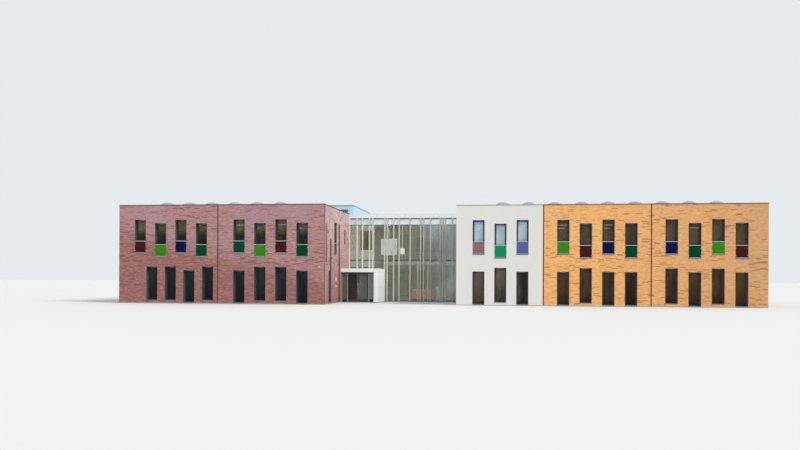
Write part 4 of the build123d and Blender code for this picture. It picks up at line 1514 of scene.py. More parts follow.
@dataclass
class HallFront:
    """Gaskets, glass joints, cleats and panel joints of the hall's glass front."""

    gasket: float = 0.006
    joint: float = 0.009
    cleat: float = 0.012
    cleat_depth: float = 0.03
    bolt: float = 0.003
    foot_plate: float = 0.006
    panel_step: float = 1.231
    panel_joint: float = 0.0025
    shadow_gap: float = 0.036
    cap_fold: float = 0.014
    cap_depth: float = 0.2
    cap_height: float = 0.004

    def build(self) -> None:
        """Build the trims on the bars, glass, fins and fascia."""
        bars, fins = solids("hall_front_bars"), solids("hall_fins")
        self.seal_glass(bars, fins)
        self.fix_fins(bars, fins)
        self.joint_fascia()
        self.cap_fascia()

    def seal_glass(self, bars: list[Box], fins: list[Box]) -> None:
        """Dark seals along the bars, and upright joints behind the fins."""
        bench = Bench()
        glass = solids("hall_glass")
        front = max(low.y for low, _ in glass)
        panes = [(low, high) for low, high in glass if abs(low.y - front) < 0.01]
        foot = min(low.z for low, _ in panes) - 0.01
        for low, high in bars:
            for level in (low.z - self.gasket, high.z):
                if level > foot:
                    bench.block((low.x, low.y + 0.001, level), (high.x, low.y + 0.006, level + self.gasket))
        for (low, high), (pane_low, pane_high) in product(fins, panes):
            middle = (low.x + high.x) / 2
            bottom, top = max(pane_low.z, low.z), min(pane_high.z, high.z)
            if pane_low.x < middle < pane_high.x and top > bottom:
                bench.block((middle - self.joint / 2, front - 0.001, bottom),
                            (middle + self.joint / 2, front + 0.011, top))
        bench.hand_over("hall_glass_seals", Coat.RUBBER)

    def fix_fins(self, bars: list[Box], fins: list[Box]) -> None:
        """A steel cleat each side of every fin where it crosses a bar, and its foot plate."""
        bench = Bench()
        half = self.cleat / 2
        for low, high in fins:
            front = high.y - self.cleat_depth
            for bar_low, bar_high in bars:
                middle = (bar_low.z + bar_high.z) / 2
                if not (low.z - 0.05 < middle < high.z + 0.02 and bar_low.x < high.x):
                    continue
                for x in (low.x - half, high.x + half):
                    bench.plate(x, middle, (front, high.y), (half, self.cleat), 0.001)
                    bench.rod((x, front - self.bolt, middle), (x, front, middle), self.bolt, 8)
            bench.block((low.x - 0.004, low.y, low.z), (high.x + 0.004, high.y, low.z + self.foot_plate))
        bench.hand_over("fin_cleats", Coat.STEEL)

    def joint_fascia(self) -> None:
        """Upright joints, a drip at the foot and a dark strip below the white fascia, which stands for the
        front's top bar and paints the shade under the fascia.
        """
        low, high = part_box("hall_fascia")
        joints = Bench()
        front, bars = low.y - FACE_STEP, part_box("hall_front_bars")[0].y
        for x in divisions(low.x, high.x, round((high.x - low.x) / self.panel_step)):
            joints.block((x - self.panel_joint, front, low.z), (x + self.panel_joint, low.y + 0.002, high.z))
        joints.block((low.x, front, low.z - 0.004), (high.x, low.y + 0.004, low.z + 0.002))
        # The dark strip is partly the front's top bar and partly painted shade under the fascia.
        joints.block((low.x, bars - FACE_STEP, low.z - self.shadow_gap), (high.x, bars + 0.0045, low.z))
        joints.hand_over("fascia_joints", Coat.RUBBER)

    def cap_fascia(self) -> None:
        """A folded cap over the fascia's front and top."""
        low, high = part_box("hall_fascia")
        top = high.z + self.cap_height
        cap = Bench()
        cap.block((low.x, low.y - 0.004, high.z - self.cap_fold), (high.x, low.y, top), 0.0008)
        cap.block((low.x, low.y, high.z), (high.x, low.y + self.cap_depth, top), 0.0008)
        cap.hand_over("fascia_cap", Coat.WHITE_PANEL)


@dataclass
class PorchDetails:
    """Panel joints, lights, mat and threshold of the white porch."""

    joint: float = 0.0025
    joint_depth: float = 0.002
    side_joints: tuple[float, float] = (0.33, 0.67)
    flashing: float = 0.003
    flashing_fold: float = 0.01
    roof_rear: float = 0.1
    light_radius: float = 0.045
    light_ring: float = 0.012
    light_shares: tuple[float, float] = (0.28, 0.72)
    light_depths: tuple[float, float] = (0.55, 1.2)
    mat_length: float = 0.95
    mat_depth: float = 0.6
    mat_behind: float = 0.08
    mat_frame: float = 0.012
    mat_bar: float = 0.008
    rib_step: float = 0.02
    rib: float = 0.011
    tread_step: float = 0.016

    def build(self) -> None:
        """Build the porch's small parts."""
        roof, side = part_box("porch_roof"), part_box("porch_side_wall")
        self.joint_panels(roof, side)
        self.flash_roof(roof, side)
        self.hang_lights(roof[0], side[0])
        self.lay_floor()

    def joint_panels(self, roof: Box, side: Box) -> None:
        """Dark lines between the porch's panels."""
        bench = Bench()
        half, deep = self.joint / 2, self.joint_depth
        (roof_low, roof_high), (low, high) = roof, side
        for x in ((roof_low.x + roof_high.x) / 2, low.x):
            bench.block((x - half, roof_low.y - FACE_STEP, roof_low.z),
                        (x + half, roof_low.y + deep, roof_high.z))
        for level in ((low.z + high.z) / 2, high.z):
            bottom, top = level - half, level + half
            bench.block((low.x, low.y - FACE_STEP, bottom), (high.x + FACE_STEP, low.y + deep, top))
            bench.block((high.x - deep, low.y, bottom), (high.x + FACE_STEP, high.y, top))
        for share in self.side_joints:
            y = low.y + (high.y - self.roof_rear - low.y) * share
            bench.block((high.x - deep, y - half, low.z), (high.x + FACE_STEP, y + half, roof_high.z))
        bench.hand_over("porch_panel_joints", Coat.RUBBER)

    def flash_roof(self, roof: Box, side: Box) -> None:
        """A thin flashing on the porch's roof, folded down in front and at the right."""
        low, high = roof
        rear, out, foot = side[1].y - self.roof_rear, self.flashing, high.z - self.flashing_fold
        bench = Bench()
        bench.block((low.x, low.y - out, foot), (high.x + out, low.y, high.z + 0.004), 0.0008)
        bench.block((high.x, low.y, foot), (high.x + out, rear, high.z + 0.004), 0.0008)
        bench.block((low.x, low.y, high.z), (high.x, rear, high.z + out))
        bench.hand_over("porch_flashing", Coat.WHITE_PANEL)

    def hang_lights(self, roof_low: Vector, side_low: Vector) -> None:
        """Four round lights under the soffit, each in a ring."""
        rings, covers = Bench(), Bench()
        inner, outer = self.light_radius, self.light_radius + self.light_ring
        for share, depth in product(self.light_shares, self.light_depths):
            foot = (roof_low.x + (side_low.x - roof_low.x) * share, roof_low.y + depth, roof_low.z)
            rings.lathe([(inner, -0.006), (outer, -0.003), (outer, 0.0), (inner, 0.0)], foot, 28)
            covers.tube((0.001, inner), (-0.003, 0.0), foot, 28)
        rings.hand_over("porch_light_rings", Coat.STEEL)
        covers.hand_over("porch_light_covers", Coat.LAMP_GLOW)

    def lay_floor(self) -> None:
        """A ribbed mat behind the doors, and the steel of its frame and of the threshold."""
        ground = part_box("hall_ground_floor")[1].z
        frame_low, frame_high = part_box("entrance_frame")
        door_left, door_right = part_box("left_door")[0].x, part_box("right_door")[1].x
        left = (door_left + door_right - self.mat_length) / 2
        right, front = left + self.mat_length, frame_high.y + self.mat_behind
        back, out, bar = front + self.mat_depth, self.mat_frame, self.mat_bar
        mat, steel = Bench(), Bench()
        mat.block((left, front, ground), (right, back, ground + 0.002), 0.0008)
        for place in range(round(self.mat_depth / self.rib_step) - 1):
            y = front + 0.01 + place * self.rib_step
            mat.block((left + out, y, ground), (right - out, y + self.rib, ground + 0.005), 0.001)
        mat.hand_over("entrance_mat", Coat.RUBBER)
        door_left, door_right = door_left - 0.008, door_right + 0.008
        steel.block((door_left, frame_low.y - 0.01, ground), (door_right, frame_high.y, ground + 0.002),
                    0.0006)
        for way in range(3):
            y = frame_low.y + 0.006 + way * self.tread_step
            steel.block((door_left, y, ground), (door_right, y + 0.004, ground + 0.003))
        left, right, front, back = left - out, right + out, front - out, back + out
        for x0, x1, y0, y1 in (
            (left, right, front, front + bar), (left, right, back - bar, back),
            (left, left + bar, front, back), (right - bar, right, front, back),
        ):
            steel.block((x0, y0, ground), (x1, y1, ground + 0.005), 0.0008)
        steel.hand_over("threshold_and_mat_frame", Coat.STEEL)


@dataclass
class EntranceScreen:
    """Pale covers on the posts, seals and low panels of the fixed entrance screen."""

    cover: float = 0.002
    cover_inset: float = 0.008
    post: float = 0.045
    door_gap: float = 0.01
    panel_inset: float = 0.012
    panel_top: float = 0.13
    glass_foot: float = 0.136

    def build(self) -> None:
        """Build the covers and seals."""
        low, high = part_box("entrance_frame")
        covers, seals = Bench(), Bench()
        top, middle = high.z - self.post, (low.y + high.y) / 2
        posts = (
            low.x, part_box("left_door")[0].x - self.door_gap - self.post,
            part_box("right_door")[1].x + self.door_gap, high.x - self.post,
        )
        for x in posts:
            covers.block((x + self.cover_inset, low.y - self.cover, low.z),
                         (x + self.post - self.cover_inset, low.y, top), 0.0006)
        covers.hand_over("entrance_post_covers", Coat.PALE_METAL)
        for left, right in ((posts[0] + self.post, posts[1]), (posts[2] + self.post, posts[3])):
            seals.seals(Vector((left, 0.0, self.glass_foot)), Vector((right, 0.0, top)), middle)
            seals.block((left + self.panel_inset, low.y - 0.001, low.z + self.panel_inset),
                        (right - self.panel_inset, low.y + 0.001, self.panel_top))
        seals.hand_over("entrance_screen_seals", Coat.RUBBER)


@dataclass
class DoorLeaf:
    """The seals, kick plates, closer, lock and edge brush of one entrance leaf."""

    side: str
    way: int
    stile: float = 0.04
    bottom_rail: float = 0.1
    top_rail: float = 0.045
    plate_inset: float = 0.01
    screw_inset: float = 0.02
    strip: float = 0.007
    closer: tuple[float, float] = (0.07, 0.2)
    closer_depth: float = 0.026
    closer_height: float = 0.03
    arm: tuple[float, float] = (0.11, 0.19)
    lock_height: float = 0.29

    def build(self) -> None:
        """Build what is fixed to the leaf."""
        low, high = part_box(self.side + "_door")
        heel, toe = (low.x, high.x) if self.way > 0 else (high.x, low.x)
        self.seal(low, high)
        self.fit_plates(low, high)
        self.fit_strips(low, high, toe)
        self.fit_closer(high, heel)
        self.fit_lock(low, high, toe)

    def hand_over(self, bench: Bench, name: str, coat: Coat) -> None:
        """Turn a bench's shapes into a piece that moves with the leaf."""
        bench.hand_over(f"{self.side}_{name}", coat, self.side + "_leaf")

    def seal(self, low: Vector, high: Vector) -> None:
        """Seals round the glass on both faces, and a thin brush under the leaf."""
        bench = Bench()
        middle = (low.y + high.y) / 2
        bench.seals(*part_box(self.side + "_door_glass"), middle)
        bench.block((low.x + 0.004, middle - 0.003, low.z - 0.0015), (high.x - 0.004, middle + 0.003, low.z))
        self.hand_over(bench, "door_seals", Coat.RUBBER)

    def fit_plates(self, low: Vector, high: Vector) -> None:
        """A dark kick plate on each face of the bottom rail, with its screws."""
        bench = Bench()
        left, right, foot, top = low.x, high.x, low.z, low.z + self.bottom_rail - 0.002
        plate, screw = self.plate_inset, self.screw_inset
        across, heights = (left + screw, (left + right) / 2, right - screw), (foot + screw, top - screw)
        for face, way in ((low.y, -1), (high.y, 1)):
            front, back = sorted((face, face + way * 0.001))
            bench.block((left + plate, front, foot + plate), (right - plate, back, top - plate), 0.0004)
            for x, z in product(across, heights):
                bench.stud(x, face + way * 0.001, z, way * 0.0008, 0.003, 8)
        self.hand_over(bench, "kick_plates", Coat.DARK_FRAME)

    def fit_strips(self, low: Vector, high: Vector, toe: float) -> None:
        """A narrow pale strip along the toe stile, beside the glass, on both faces."""
        bench = Bench()
        inner = toe - self.way * (self.stile - 0.004)
        near, far = sorted((inner, inner + self.way * self.strip))
        for y0, y1 in ((low.y - 0.0015, low.y), (high.y, high.y + 0.0015)):
            bench.block((near, y0, low.z + self.bottom_rail), (far, y1, high.z - self.top_rail), 0.0005)
        self.hand_over(bench, "door_strips", Coat.PALE_METAL)

    def fit_closer(self, high: Vector, heel: float) -> None:
        """The closer's case on the inner face of the top rail, with its arm folded over it."""
        bench = Bench()
        near, far = sorted(heel + self.way * reach for reach in self.closer)
        level = high.z - self.top_rail + 0.006
        top = level + self.closer_height
        bench.block((near, high.y, level), (far, high.y + self.closer_depth, top), 0.003)
        pin, end = (heel + self.way * reach for reach in self.arm)
        bench.rod((pin, high.y + 0.014, top), (pin, high.y + 0.014, top + 0.007), 0.008, 16)
        near, far = sorted((pin, end))
        bench.block((near, high.y + 0.01, top + 0.002), (far, high.y + 0.018, top + 0.006), 0.0008)
        self.hand_over(bench, "door_closer", Coat.PALE_METAL)

    def fit_lock(self, low: Vector, high: Vector, toe: float) -> None:
        """A round lock rose on each face of the toe stile, below the handle."""
        bench = Bench()
        x, level = toe - self.way * self.stile / 2, low.z + self.lock_height
        for face, out in ((low.y, -0.003), (high.y, 0.003)):
            bench.stud(x, face, level, out, 0.013, 20)
            bench.stud(x, face + out, level, out, 0.008, 16)
        self.hand_over(bench, "door_lock", Coat.STEEL)


@dataclass
class StairDetails:
    """Nosing strips, glass fixings and landing edges round the stair and gallery."""

    strip: float = 0.025
    strip_inset: float = 0.004
    clamp: float = 0.016
    clamp_step: int = 3
    clamp_over: float = 0.02
    trim: float = 0.006
    landing_trim: float = 1.025

    def build(self) -> None:
        """Build the strips, fixings and edges."""
        strips, fixings, edges = Bench(), Bench(), Bench()
        treads = solids("stair_treads")
        side_low, side_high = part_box("stair_stringers")
        for low, high in treads:
            start = low.x + self.strip_inset
            strips.block((start, low.y, high.z), (start + self.strip, high.y, high.z + 0.001))
        for low, high in treads[::self.clamp_step]:
            for face, out in ((side_low.y, -0.006), (side_high.y, 0.006)):
                fixings.stud((low.x + high.x) / 2, face, high.z + self.clamp_over, out, self.clamp, 16)
        strips.hand_over("stair_nosings", Coat.RUBBER)
        fixings.hand_over("balustrade_fixings", Coat.STEEL)
        gallery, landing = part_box("gallery_floor"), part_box("hall_landings")
        for low, right, top in (
            (gallery[0], gallery[1].x, gallery[1].z),
            (landing[0], landing[0].x + self.landing_trim, landing[1].z),
        ):
            edges.block((low.x, low.y - self.trim, low.z - 0.01), (right, low.y, top), 0.001)
        edges.hand_over("floor_edge_trims", Coat.WHITE_STEEL)


@dataclass
class Pendants:
    """Rims, opal discs, wires and ceiling roses of the hall's two drum lamps."""

    rim: float = 0.006
    rim_width: float = 0.008
    rim_out: float = 0.0015
    disc_over: float = 0.02
    disc: float = 0.005
    wire: float = 0.0016
    wire_inset: float = 0.012
    wire_top: float = 0.12
    rose: tuple[tuple[float, float], ...] = (
        (0.001, 0.0), (0.055, 0.0), (0.055, -0.012), (0.04, -0.024), (0.001, -0.024),
    )
    large_from: float = 0.2
    large_height: float = 0.715
    small_height: float = 0.285

    def build(self) -> None:
        """Dress both lamps."""
        metal, opal = Bench(), Bench()
        for low, high in solids("hall_pendants"):
            middle = (low + high) / 2
            axis = Vector((middle.x, middle.y, 0.0))
            radius = (high.x - low.x) / 2
            top = low.z + (self.large_height if radius > self.large_from else self.small_height)
            for level in (low.z, top):
                metal.tube((radius - self.rim_width, radius + self.rim_out),
                           (level - self.rim / 2, level + self.rim / 2), axis, 56)
            foot = low.z + self.disc_over
            opal.tube((0.002, radius - 0.009), (foot, foot + self.disc), axis, 56)
            for turn in range(3):
                angle = turn * 2 * math.pi / 3
                reach = Vector((math.cos(angle), math.sin(angle), 0.0)) * (radius - self.wire_inset)
                metal.rod(axis + reach + Vector((0, 0, top)),
                          axis + reach * self.wire_top + Vector((0, 0, high.z - 0.02)), self.wire, 6)
            metal.lathe(self.rose, axis + Vector((0, 0, high.z)), 28)
        metal.hand_over("pendant_metalwork", Coat.STEEL)
        opal.hand_over("pendant_discs", Coat.LAMP_GLOW)


@dataclass
class CurvedBench:
    """The round orange bench: padded seat and back segments on a plinth.

    `seat_room` and `back_room` say how far an unfilled segment keeps from its inner face, outer face
    and top.
    """

    half_angle: float = 75.0
    radius: float = 0.52
    back_thickness: float = 0.09
    seat_depth: float = 0.26
    back_height: float = 0.52
    seat_height: float = 0.22
    segments: int = 6
    plinth: float = 0.06
    plinth_inset: float = 0.03
    gap: float = 0.003
    edge: float = 0.022
    voxel: float = 0.0075
    cloth_quality: int = 4
    pressure: float = 4.0
    cloth_frames: int = 14
    cushion_gap: float = 0.0004
    seat_room: tuple[float, float, float] = (0.012, 0.002, 0.014)
    back_room: tuple[float, float, float] = (0.01, 0.008, 0.012)

    def centre(self) -> Vector:
        """The point that the bench bends round, on the floor."""
        low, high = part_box("curved_bench")
        return Vector(((low.x + high.x) / 2, low.y + self.radius, low.z))

    def wedge(self, inner: float, outer: float, top: float) -> Bench:
        """A closed segment of the bench with rounded edges, before it is filled.

        Args:
            inner: Its inner radius.
            outer: Its outer radius.
            top: Its top over the floor.

        Returns:
            The segment, in the middle of the bench's front.
        """
        bench = Bench()
        spread = math.radians(self.half_angle) / self.segments - self.gap / outer
        bench.arc((inner, outer), (self.plinth, top), Vector(), spread, 8)
        sharp = [line for line in bench.mesh.edges if line.calc_face_angle(0.0) > 1.0]
        bench.bevel(sharp, self.edge, 4)
        return bench

    def filled(self, name: str, wedge: Bench, swell: float) -> bpy.types.Mesh:
        """Args:
            name: A name for the mesh.
            wedge: The segment, used up by this.
            swell: How far a point may move.

        Returns:
            The filled mesh.
        """
        shape = bpy.data.meshes.new(name)
        wedge.mesh.to_mesh(shape)
        wedge.mesh.free()
        pad = bpy.data.objects.new(name, shape)
        bpy.context.scene.collection.objects.link(pad)
        pad.modifiers.new("Remesh", "REMESH").voxel_size = self.voxel
        cloth = pad.modifiers.new("Cloth", "CLOTH")
        cloth.settings.quality = self.cloth_quality
        cloth.settings.use_pressure = True
        cloth.settings.uniform_pressure_force = self.pressure
        cloth.settings.effector_weights.gravity = 0.0
        for step in range(1, self.cloth_frames + 1):
            bpy.context.scene.frame_set(step)
        graph = bpy.context.evaluated_depsgraph_get()
        grown = bpy.data.meshes.new_from_object(pad.evaluated_get(graph), depsgraph=graph)
        bpy.context.scene.frame_set(1)
        pad.modifiers.clear()
        rest = bmesh.new()
        rest.from_mesh(grown)
        self._hold(rest, swell)
        rest.to_mesh(grown)
        rest.free()
        bpy.data.objects.remove(pad)
        return grown

    def _hold(self, mesh: bmesh.types.BMesh, swell: float) -> None:
        """Keep a swollen segment within its share of the ring."""
        spread = math.radians(self.half_angle) / self.segments - self.cushion_gap / self.radius
        for vert in mesh.verts:
            reach = math.hypot(vert.co.x, vert.co.y)
            angle = math.atan2(vert.co.x, -vert.co.y)
            angle = max(-spread, min(spread, angle))
            reach = min(reach, self.radius + swell * 0.2)
            vert.co.x = reach * math.sin(angle)
            vert.co.y = -reach * math.cos(angle)
            vert.co.z = max(vert.co.z, self.plinth - 0.01)
        bmesh.ops.smooth_vert(mesh, verts=mesh.verts, factor=0.5, use_axis_x=True, use_axis_y=True,
                              use_axis_z=True)

    def build(self) -> None:
        """Build the cushions and the plinth."""
        centre, inner = self.centre(), self.radius - self.back_thickness
        seat_inner = inner - self.seat_depth
        near, far, top = self.seat_room
        seat = self.wedge(seat_inner + near, inner + far, self.seat_height - top)
        seat = self.filled("seat_segment", seat, near)
        near, far, top = self.back_room
        back = self.wedge(inner + near, self.radius - far, self.back_height - top)
        back = self.filled("back_segment", back, near)
        half = math.radians(self.half_angle)
        turns = [Matrix.Translation(centre) @ Matrix.Rotation(angle, 4, "Z")
                 for angle in middles(-half, half, self.segments)]
        for name, shape in (("bench_seat_cushions", seat), ("bench_back_cushions", back)):
            bench, single = Bench(), Bench()
            single.mesh.from_mesh(shape)
            bench.stamp(single, turns)
            piece = bench.hand_over(name, Coat.ORANGE_COVER, smooth=True)
            if shape is back:
                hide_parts("curved_bench")
        plinth = Bench()
        plinth.arc((seat_inner + self.plinth_inset, self.radius - 0.02), (0.0, self.plinth), centre,
                   half - self.plinth_inset, 48)
        plinth.hand_over("bench_plinth", Coat.RUBBER)


@dataclass
class PartitionDetails:
    """The pane, joints and foot strip of the pale partition behind the glass."""

    pane: float = 0.006
    frame_bar: float = 0.028
    foot_strip: float = 0.04
    surround: float = 0.012
    surround_bar: float = 0.02

    def build(self) -> None:
        """Build the partition's small parts."""
        low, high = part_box("partition_window_frame")
        left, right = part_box("hall_partition")
        middle, face, bar, out = (low.y + high.y) / 2, left.y, self.frame_bar, self.surround
        glass, trims = Bench(), Bench()
        glass.block((low.x + bar, middle - self.pane / 2, low.z + bar),
                    (high.x - bar, middle + self.pane / 2, high.z - bar))
        glass.hand_over("partition_pane", Coat.CLEAR_GLASS)
        trims.block((left.x, face - 0.004, left.z), (right.x, face, left.z + self.foot_strip), 0.0008)
        trims.ring((low.x - out, face - 0.005, low.z - out), (high.x + out, face, high.z + out),
                   self.surround_bar, 0.001)
        trims.hand_over("partition_trims", Coat.WHITE_PANEL)


@dataclass
class StripLamps:
    """Rows of lit strip lamps: hung in the upper rooms, and close under the hall's roof."""

    length: float = 0.6
    width: float = 0.1
    depth: float = 0.03
    hang: float = 0.1
    room_pitches: tuple[tuple[str, float], ...] = (
        ("left_front_wall", 1.63), ("white_front_wall", 0.82), ("right_front_wall", 1.64),
    )
    room_rows: tuple[float, ...] = (5.2, 7.4)
    hall_rows: tuple[float, ...] = (0.7, 1.5)
    hall_count: int = 5
    end_gap: float = 0.5
    wire: float = 0.002
    wire_share: float = 0.7
    cover_inset: float = 0.006
    cover_below: float = 0.004
    cover_height: float = 0.022

    def build(self) -> None:
        """Hang the lamps in each wing, the white block and the hall."""
        trays, covers, wires, hall_covers = Bench(), Bench(), Bench(), Bench()
        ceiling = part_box("wing_roofs")[0].z
        for node, pitch in self.room_pitches:
            low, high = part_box(node)
            along = middles(low.x, high.x, int((high.x - low.x - self.end_gap) / pitch))
            for row, x in product(self.room_rows, along):
                self.lamp(trays, covers, wires, Vector((x, low.y + row, ceiling)), self.hang)
        low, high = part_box("hall_front_bars")
        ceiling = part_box("hall_roof")[0].z
        for row, x in product(self.hall_rows, middles(low.x, high.x, self.hall_count)):
            self.lamp(trays, hall_covers, wires, Vector((x, high.y + row, ceiling)), 0.0)
        trays.hand_over("strip_lamp_trays", Coat.WHITE_PLASTIC)
        covers.hand_over("strip_lamp_covers", Coat.STRIP_GLOW)
        hall_covers.hand_over("hall_lamp_covers", Coat.HALL_GLOW)
        wires.hand_over("strip_lamp_wires", Coat.STEEL)

    def lamp(self, trays: Bench, covers: Bench, wires: Bench, middle: Vector, hang: float) -> None:
        """Add one lamp under a point of the ceiling.

        Args:
            trays: Takes its tray.
            covers: Takes its lit cover.
            wires: Takes its two wires.
            middle: The point of the ceiling over its middle.
            hang: How far below the ceiling its tray hangs.
        """
        half, side = self.length / 2, self.width / 2
        top = middle.z - hang
        foot = top - self.depth
        trays.block((middle.x - half, middle.y - side, foot), (middle.x + half, middle.y + side, top), 0.002)
        inset, level = self.cover_inset, foot - self.cover_below
        covers.block((middle.x - half + inset, middle.y - side - 0.003, level),
                     (middle.x + half - inset, middle.y + side - inset, level + self.cover_height), 0.001)
        if hang:
            for x in (middle.x - half * self.wire_share, middle.x + half * self.wire_share):
                wires.rod((x, middle.y, top - 0.002), (x, middle.y, middle.z), self.wire, 6)


@dataclass
class RoofDetails:
    """Dome rims, kerb flanges, roofing seams and the trim of the plant room."""

    rim_radius: float = 0.3802
    rim_outline: tuple[tuple[float, float], ...] = (
        (-0.012, 0.0), (0.022, 0.0), (0.022, 0.01), (0.004, 0.018), (-0.004, 0.018),
    )
    screw_count: int = 8
    screw_out: float = 0.014
    screw_radius: float = 0.006
    screw_levels: tuple[float, float] = (0.01, 0.017)
    flange: float = 0.04
    skirt: float = 0.004
    skirt_height: float = 0.1
    seam_step: float = 0.98
    seam_width: float = 0.08
    seam_height: float = 0.0025
    seam_inset: float = 0.3
    seam_front: float = 0.22
    seam_rear: float = 0.02
    rib: float = 0.03
    rib_out: float = 0.008
    rib_step: float = 0.125
    trim_out: float = 0.012
    trim_width: float = 0.03
    trim_height: float = 0.05
    louvre_from_corner: float = 0.56
    louvre_drop: float = 0.33
    louvre_width: float = 0.3
    louvre_height: float = 0.13
    louvre_bar: float = 0.014
    blade_inset: float = 0.012
    blade_step: float = 0.02
    blade: float = 0.011

    def build(self) -> None:
        """Build what stands and lies on the roofs."""
        self.dress_lights()
        self.lay_seams()
        self.clad_plant_room()
        self.fit_louvre()

    def dress_lights(self) -> None:
        """A clamping rim with screws round each dome, and a flange at each kerb's foot."""
        rims, screws, flanges, rim, screw = Bench(), Bench(), Bench(), Bench(), Bench()
        rim.lathe([(self.rim_radius + out, height) for out, height in self.rim_outline], (0, 0, 0), 56)
        circle = self.rim_radius + self.screw_out
        foot, top = self.screw_levels
        for angle in middles(0.0, 2 * math.pi, self.screw_count):
            x, y = circle * math.cos(angle), circle * math.sin(angle)
            screw.rod((x, y, foot), (x, y, top), self.screw_radius, 6)
        places = []
        for low, high in solids("roof_light_kerbs"):
            centre = (low + high) / 2
            places.append(Matrix.Translation((centre.x, centre.y, high.z)))
            for out, height in ((self.flange, 0.004), (self.skirt, self.skirt_height)):
                flanges.block((low.x - out, low.y - out, low.z), (high.x + out, high.y + out, low.z + height),
                              0.001)
        rims.stamp(rim, places)
        screws.stamp(screw, places)
        rims.hand_over("dome_rims", Coat.GREY_METAL)
        screws.hand_over("dome_screws", Coat.STEEL)
        flanges.hand_over("kerb_flanges", Coat.ROOF_SHEET)

    def lay_seams(self) -> None:
        """Lapped seams of the roofing, front to rear on the wings and across the hall."""
        bench = Bench()
        left, white, right = (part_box(f"{name}_front_wall") for name in ("left", "white", "right"))
        rear, hall_rear = (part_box(f"{name}_back_wall")[0].y - self.seam_rear for name in ("left", "hall"))
        low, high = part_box("hall_roof")
        top = high.z + self.seam_height
        for start, end, front in ((left[0].x, left[1].x, left[0].y), (white[0].x, right[1].x, right[0].y)):
            for x in stepped(start + self.seam_inset, end - self.seam_inset, self.seam_step):
                back = hall_rear if white[0].x < x < white[1].x else rear
                bench.block((x, front + self.seam_front, high.z), (x + self.seam_width, back, top), 0.0006)
        start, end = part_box("left_return_wall")[1].x + 0.1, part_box("white_side_wall")[0].x - 0.05
        for y in stepped(low.y + self.seam_inset, high.y - 0.1, self.seam_step):
            bench.block((start, y, high.z), (end, y + self.seam_width, top), 0.0006)
        bench.hand_over("roofing_seams", Coat.ROOF_SHEET)

    def clad_plant_room(self) -> None:
        """Upright ribs on all four sides and a trim along the top."""
        low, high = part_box("plant_room")
        ribs, trims = Bench(), Bench()
        out, start, top = self.rib_out, self.rib_step / 2, high.z - self.trim_height
        sides = ((low.y - out, low.y), (high.y, high.y + out))
        for x, (y0, y1) in product(stepped(low.x + start, high.x - self.rib, self.rib_step), sides):
            ribs.block((x, y0, low.z), (x + self.rib, y1, top), 0.003)
        sides = ((low.x - out, low.x), (high.x, high.x + out))
        for y, (x0, x1) in product(stepped(low.y + start, high.y - self.rib, self.rib_step), sides):
            ribs.block((x0, y, low.z), (x1, y + self.rib, top), 0.003)
        ribs.hand_over("plant_room_ribs", Coat.BLUE_CLADDING)
        left, right, front, back = (
            low.x - self.trim_out, high.x + self.trim_out, low.y - self.trim_out, high.y + self.trim_out,
        )
        wide = self.trim_width
        for x0, x1, y0, y1 in (
            (left, right, front, low.y + wide), (left, right, high.y - wide, back),
            (left, low.x + wide, low.y + wide, high.y - wide),
            (high.x - wide, right, low.y + wide, high.y - wide),
        ):
            trims.block((x0, y0, top), (x1, y1, high.z), 0.002)
        trims.hand_over("plant_room_trim", Coat.PALE_COPING)

    def fit_louvre(self) -> None:
        """A framed louvre in the plant room's front."""
        low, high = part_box("plant_room")
        louvre = Bench()
        left, foot = high.x - self.louvre_from_corner, high.z - self.louvre_drop
        right, head = left + self.louvre_width, foot + self.louvre_height
        louvre.ring((left, low.y - 0.014, foot), (right, low.y, head), self.louvre_bar, 0.002)
        left, right = left + self.blade_inset, right - self.blade_inset
        for place in range(5):
            level = foot + 0.018 + place * self.blade_step
            louvre.block((left, low.y - 0.012, level), (right, low.y - 0.001, level + self.blade), 0.002)
        louvre.hand_over("plant_room_louvre", Coat.DARK_FRAME)


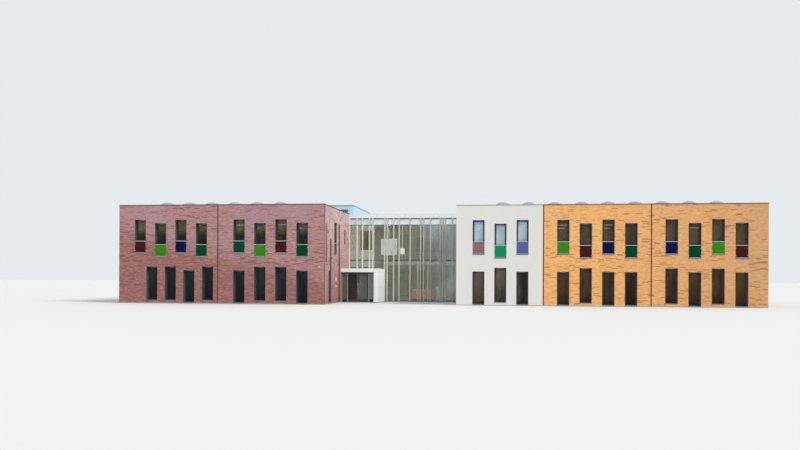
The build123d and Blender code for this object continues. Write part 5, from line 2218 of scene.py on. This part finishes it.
@dataclass
class Studio:
    """The plain floor, the soft light and the camera."""

    floor_radius: float = 320.0
    world_strength: float = 0.76
    sky_tint: Colour = (0.97, 0.99, 1.0, 1.0)
    sun_strength: float = 2.4
    sun_turn: float = 64.0
    sun_height: float = 46.0
    sun_width: float = 24.0
    sun_distance: float = 30.0
    backdrop: Colour = (0.79, 0.83, 0.87, 1.0)
    camera_place: tuple[float, float, float] = (2.8325, -35.719, 0.99)
    camera_turn: float = 0.131
    camera_roll: float = 0.005
    lens: float = 36.77
    shift: float = 0.0675
    farthest: float = 1000.0

    def build(self) -> None:
        """Set up all three, and the plain view of colours."""
        bpy.context.scene.view_settings.view_transform = "Standard"
        self.lay_floor()
        self.light_world()
        self.hang_sun()
        self.place_camera()

    def lay_floor(self) -> None:
        """A wide round floor at ground level."""
        mesh = bmesh.new()
        bmesh.ops.create_circle(mesh, cap_ends=True, segments=96, radius=self.floor_radius)
        shape = bpy.data.meshes.new("studio_floor")
        mesh.to_mesh(shape)
        mesh.free()
        shape.materials.append(PALETTE.special("studio_floor", Flooring()))
        floor = bpy.data.objects.new("studio_floor", shape)
        bpy.context.scene.collection.objects.link(floor)

    def light_world(self) -> None:
        """Even light all round, and a pale backdrop where the camera or a mirror looks."""
        world = bpy.data.worlds.new("studio_sky")
        bpy.context.scene.world = world
        sky = Paint(world)
        light = sky.node("Background", None, {"Color": self.sky_tint, "Strength": self.world_strength})
        shown = sky.node("Background", None, {"Color": self.backdrop})
        path = sky.node("LightPath").socket.node.outputs
        camera, glossy, through = (
            Value(sky, path[f"Is {ray} Ray"]) for ray in ("Camera", "Glossy", "Transmission")
        )
        seen = camera.larger(glossy).larger(through)
        sky.done(sky.node("MixShader", None, {0: seen, 1: light, 2: shown}), "World")

    def hang_sun(self) -> None:
        """A broad soft sun, in front and to the right."""
        light = bpy.data.lights.new("soft_sun", "SUN")
        light.energy = self.sun_strength
        light.angle = math.radians(self.sun_width)
        sun = bpy.data.objects.new("soft_sun", light)
        turn, height = math.radians(self.sun_turn), math.radians(self.sun_height)
        level = math.cos(height)
        towards = Vector((math.sin(turn) * level, -math.cos(turn) * level, math.sin(height)))
        sun.rotation_mode = "QUATERNION"
        sun.rotation_quaternion = towards.to_track_quat("Z", "Y")
        sun.location = towards * self.sun_distance
        bpy.context.scene.collection.objects.link(sun)

    def place_camera(self) -> None:
        """The camera at the place and angle that the sizes were read from."""
        lens = bpy.data.cameras.new("camera")
        lens.lens = self.lens
        lens.shift_y = self.shift
        lens.clip_end = self.farthest
        camera = bpy.data.objects.new("camera", lens)
        camera.matrix_world = (
            Matrix.Translation(self.camera_place) @ Matrix.Rotation(self.camera_turn, 4, "Z")
            @ Matrix.Rotation(math.pi / 2, 4, "X") @ Matrix.Rotation(self.camera_roll, 4, "Z")
        )
        bpy.context.scene.collection.objects.link(camera)
        bpy.context.scene.camera = camera


def main() -> None:
    """Dress the frame and build every sub-assembly, in order."""
    logging.basicConfig(level=logging.INFO, format="%(message)s")
    Studio().build()
    dress_frame()
    frames = solids("window_frames")
    holes = [hole for wall in WALLS for hole in wall.openings(frames)]
    log.info("%d windows in %d frames", len(holes), len(frames))
    WindowDetails().build(holes)
    WallTrims().build(holes)
    CopingTrims().build()
    HallFront().build()
    PorchDetails().build()
    EntranceScreen().build()
    DoorLeaf("left", 1).build()
    DoorLeaf("right", -1).build()
    StairDetails().build()
    Pendants().build()
    CurvedBench().build()
    PartitionDetails().build()
    StripLamps().build()
    RoofDetails().build()


if __name__ == "__main__":
    main()
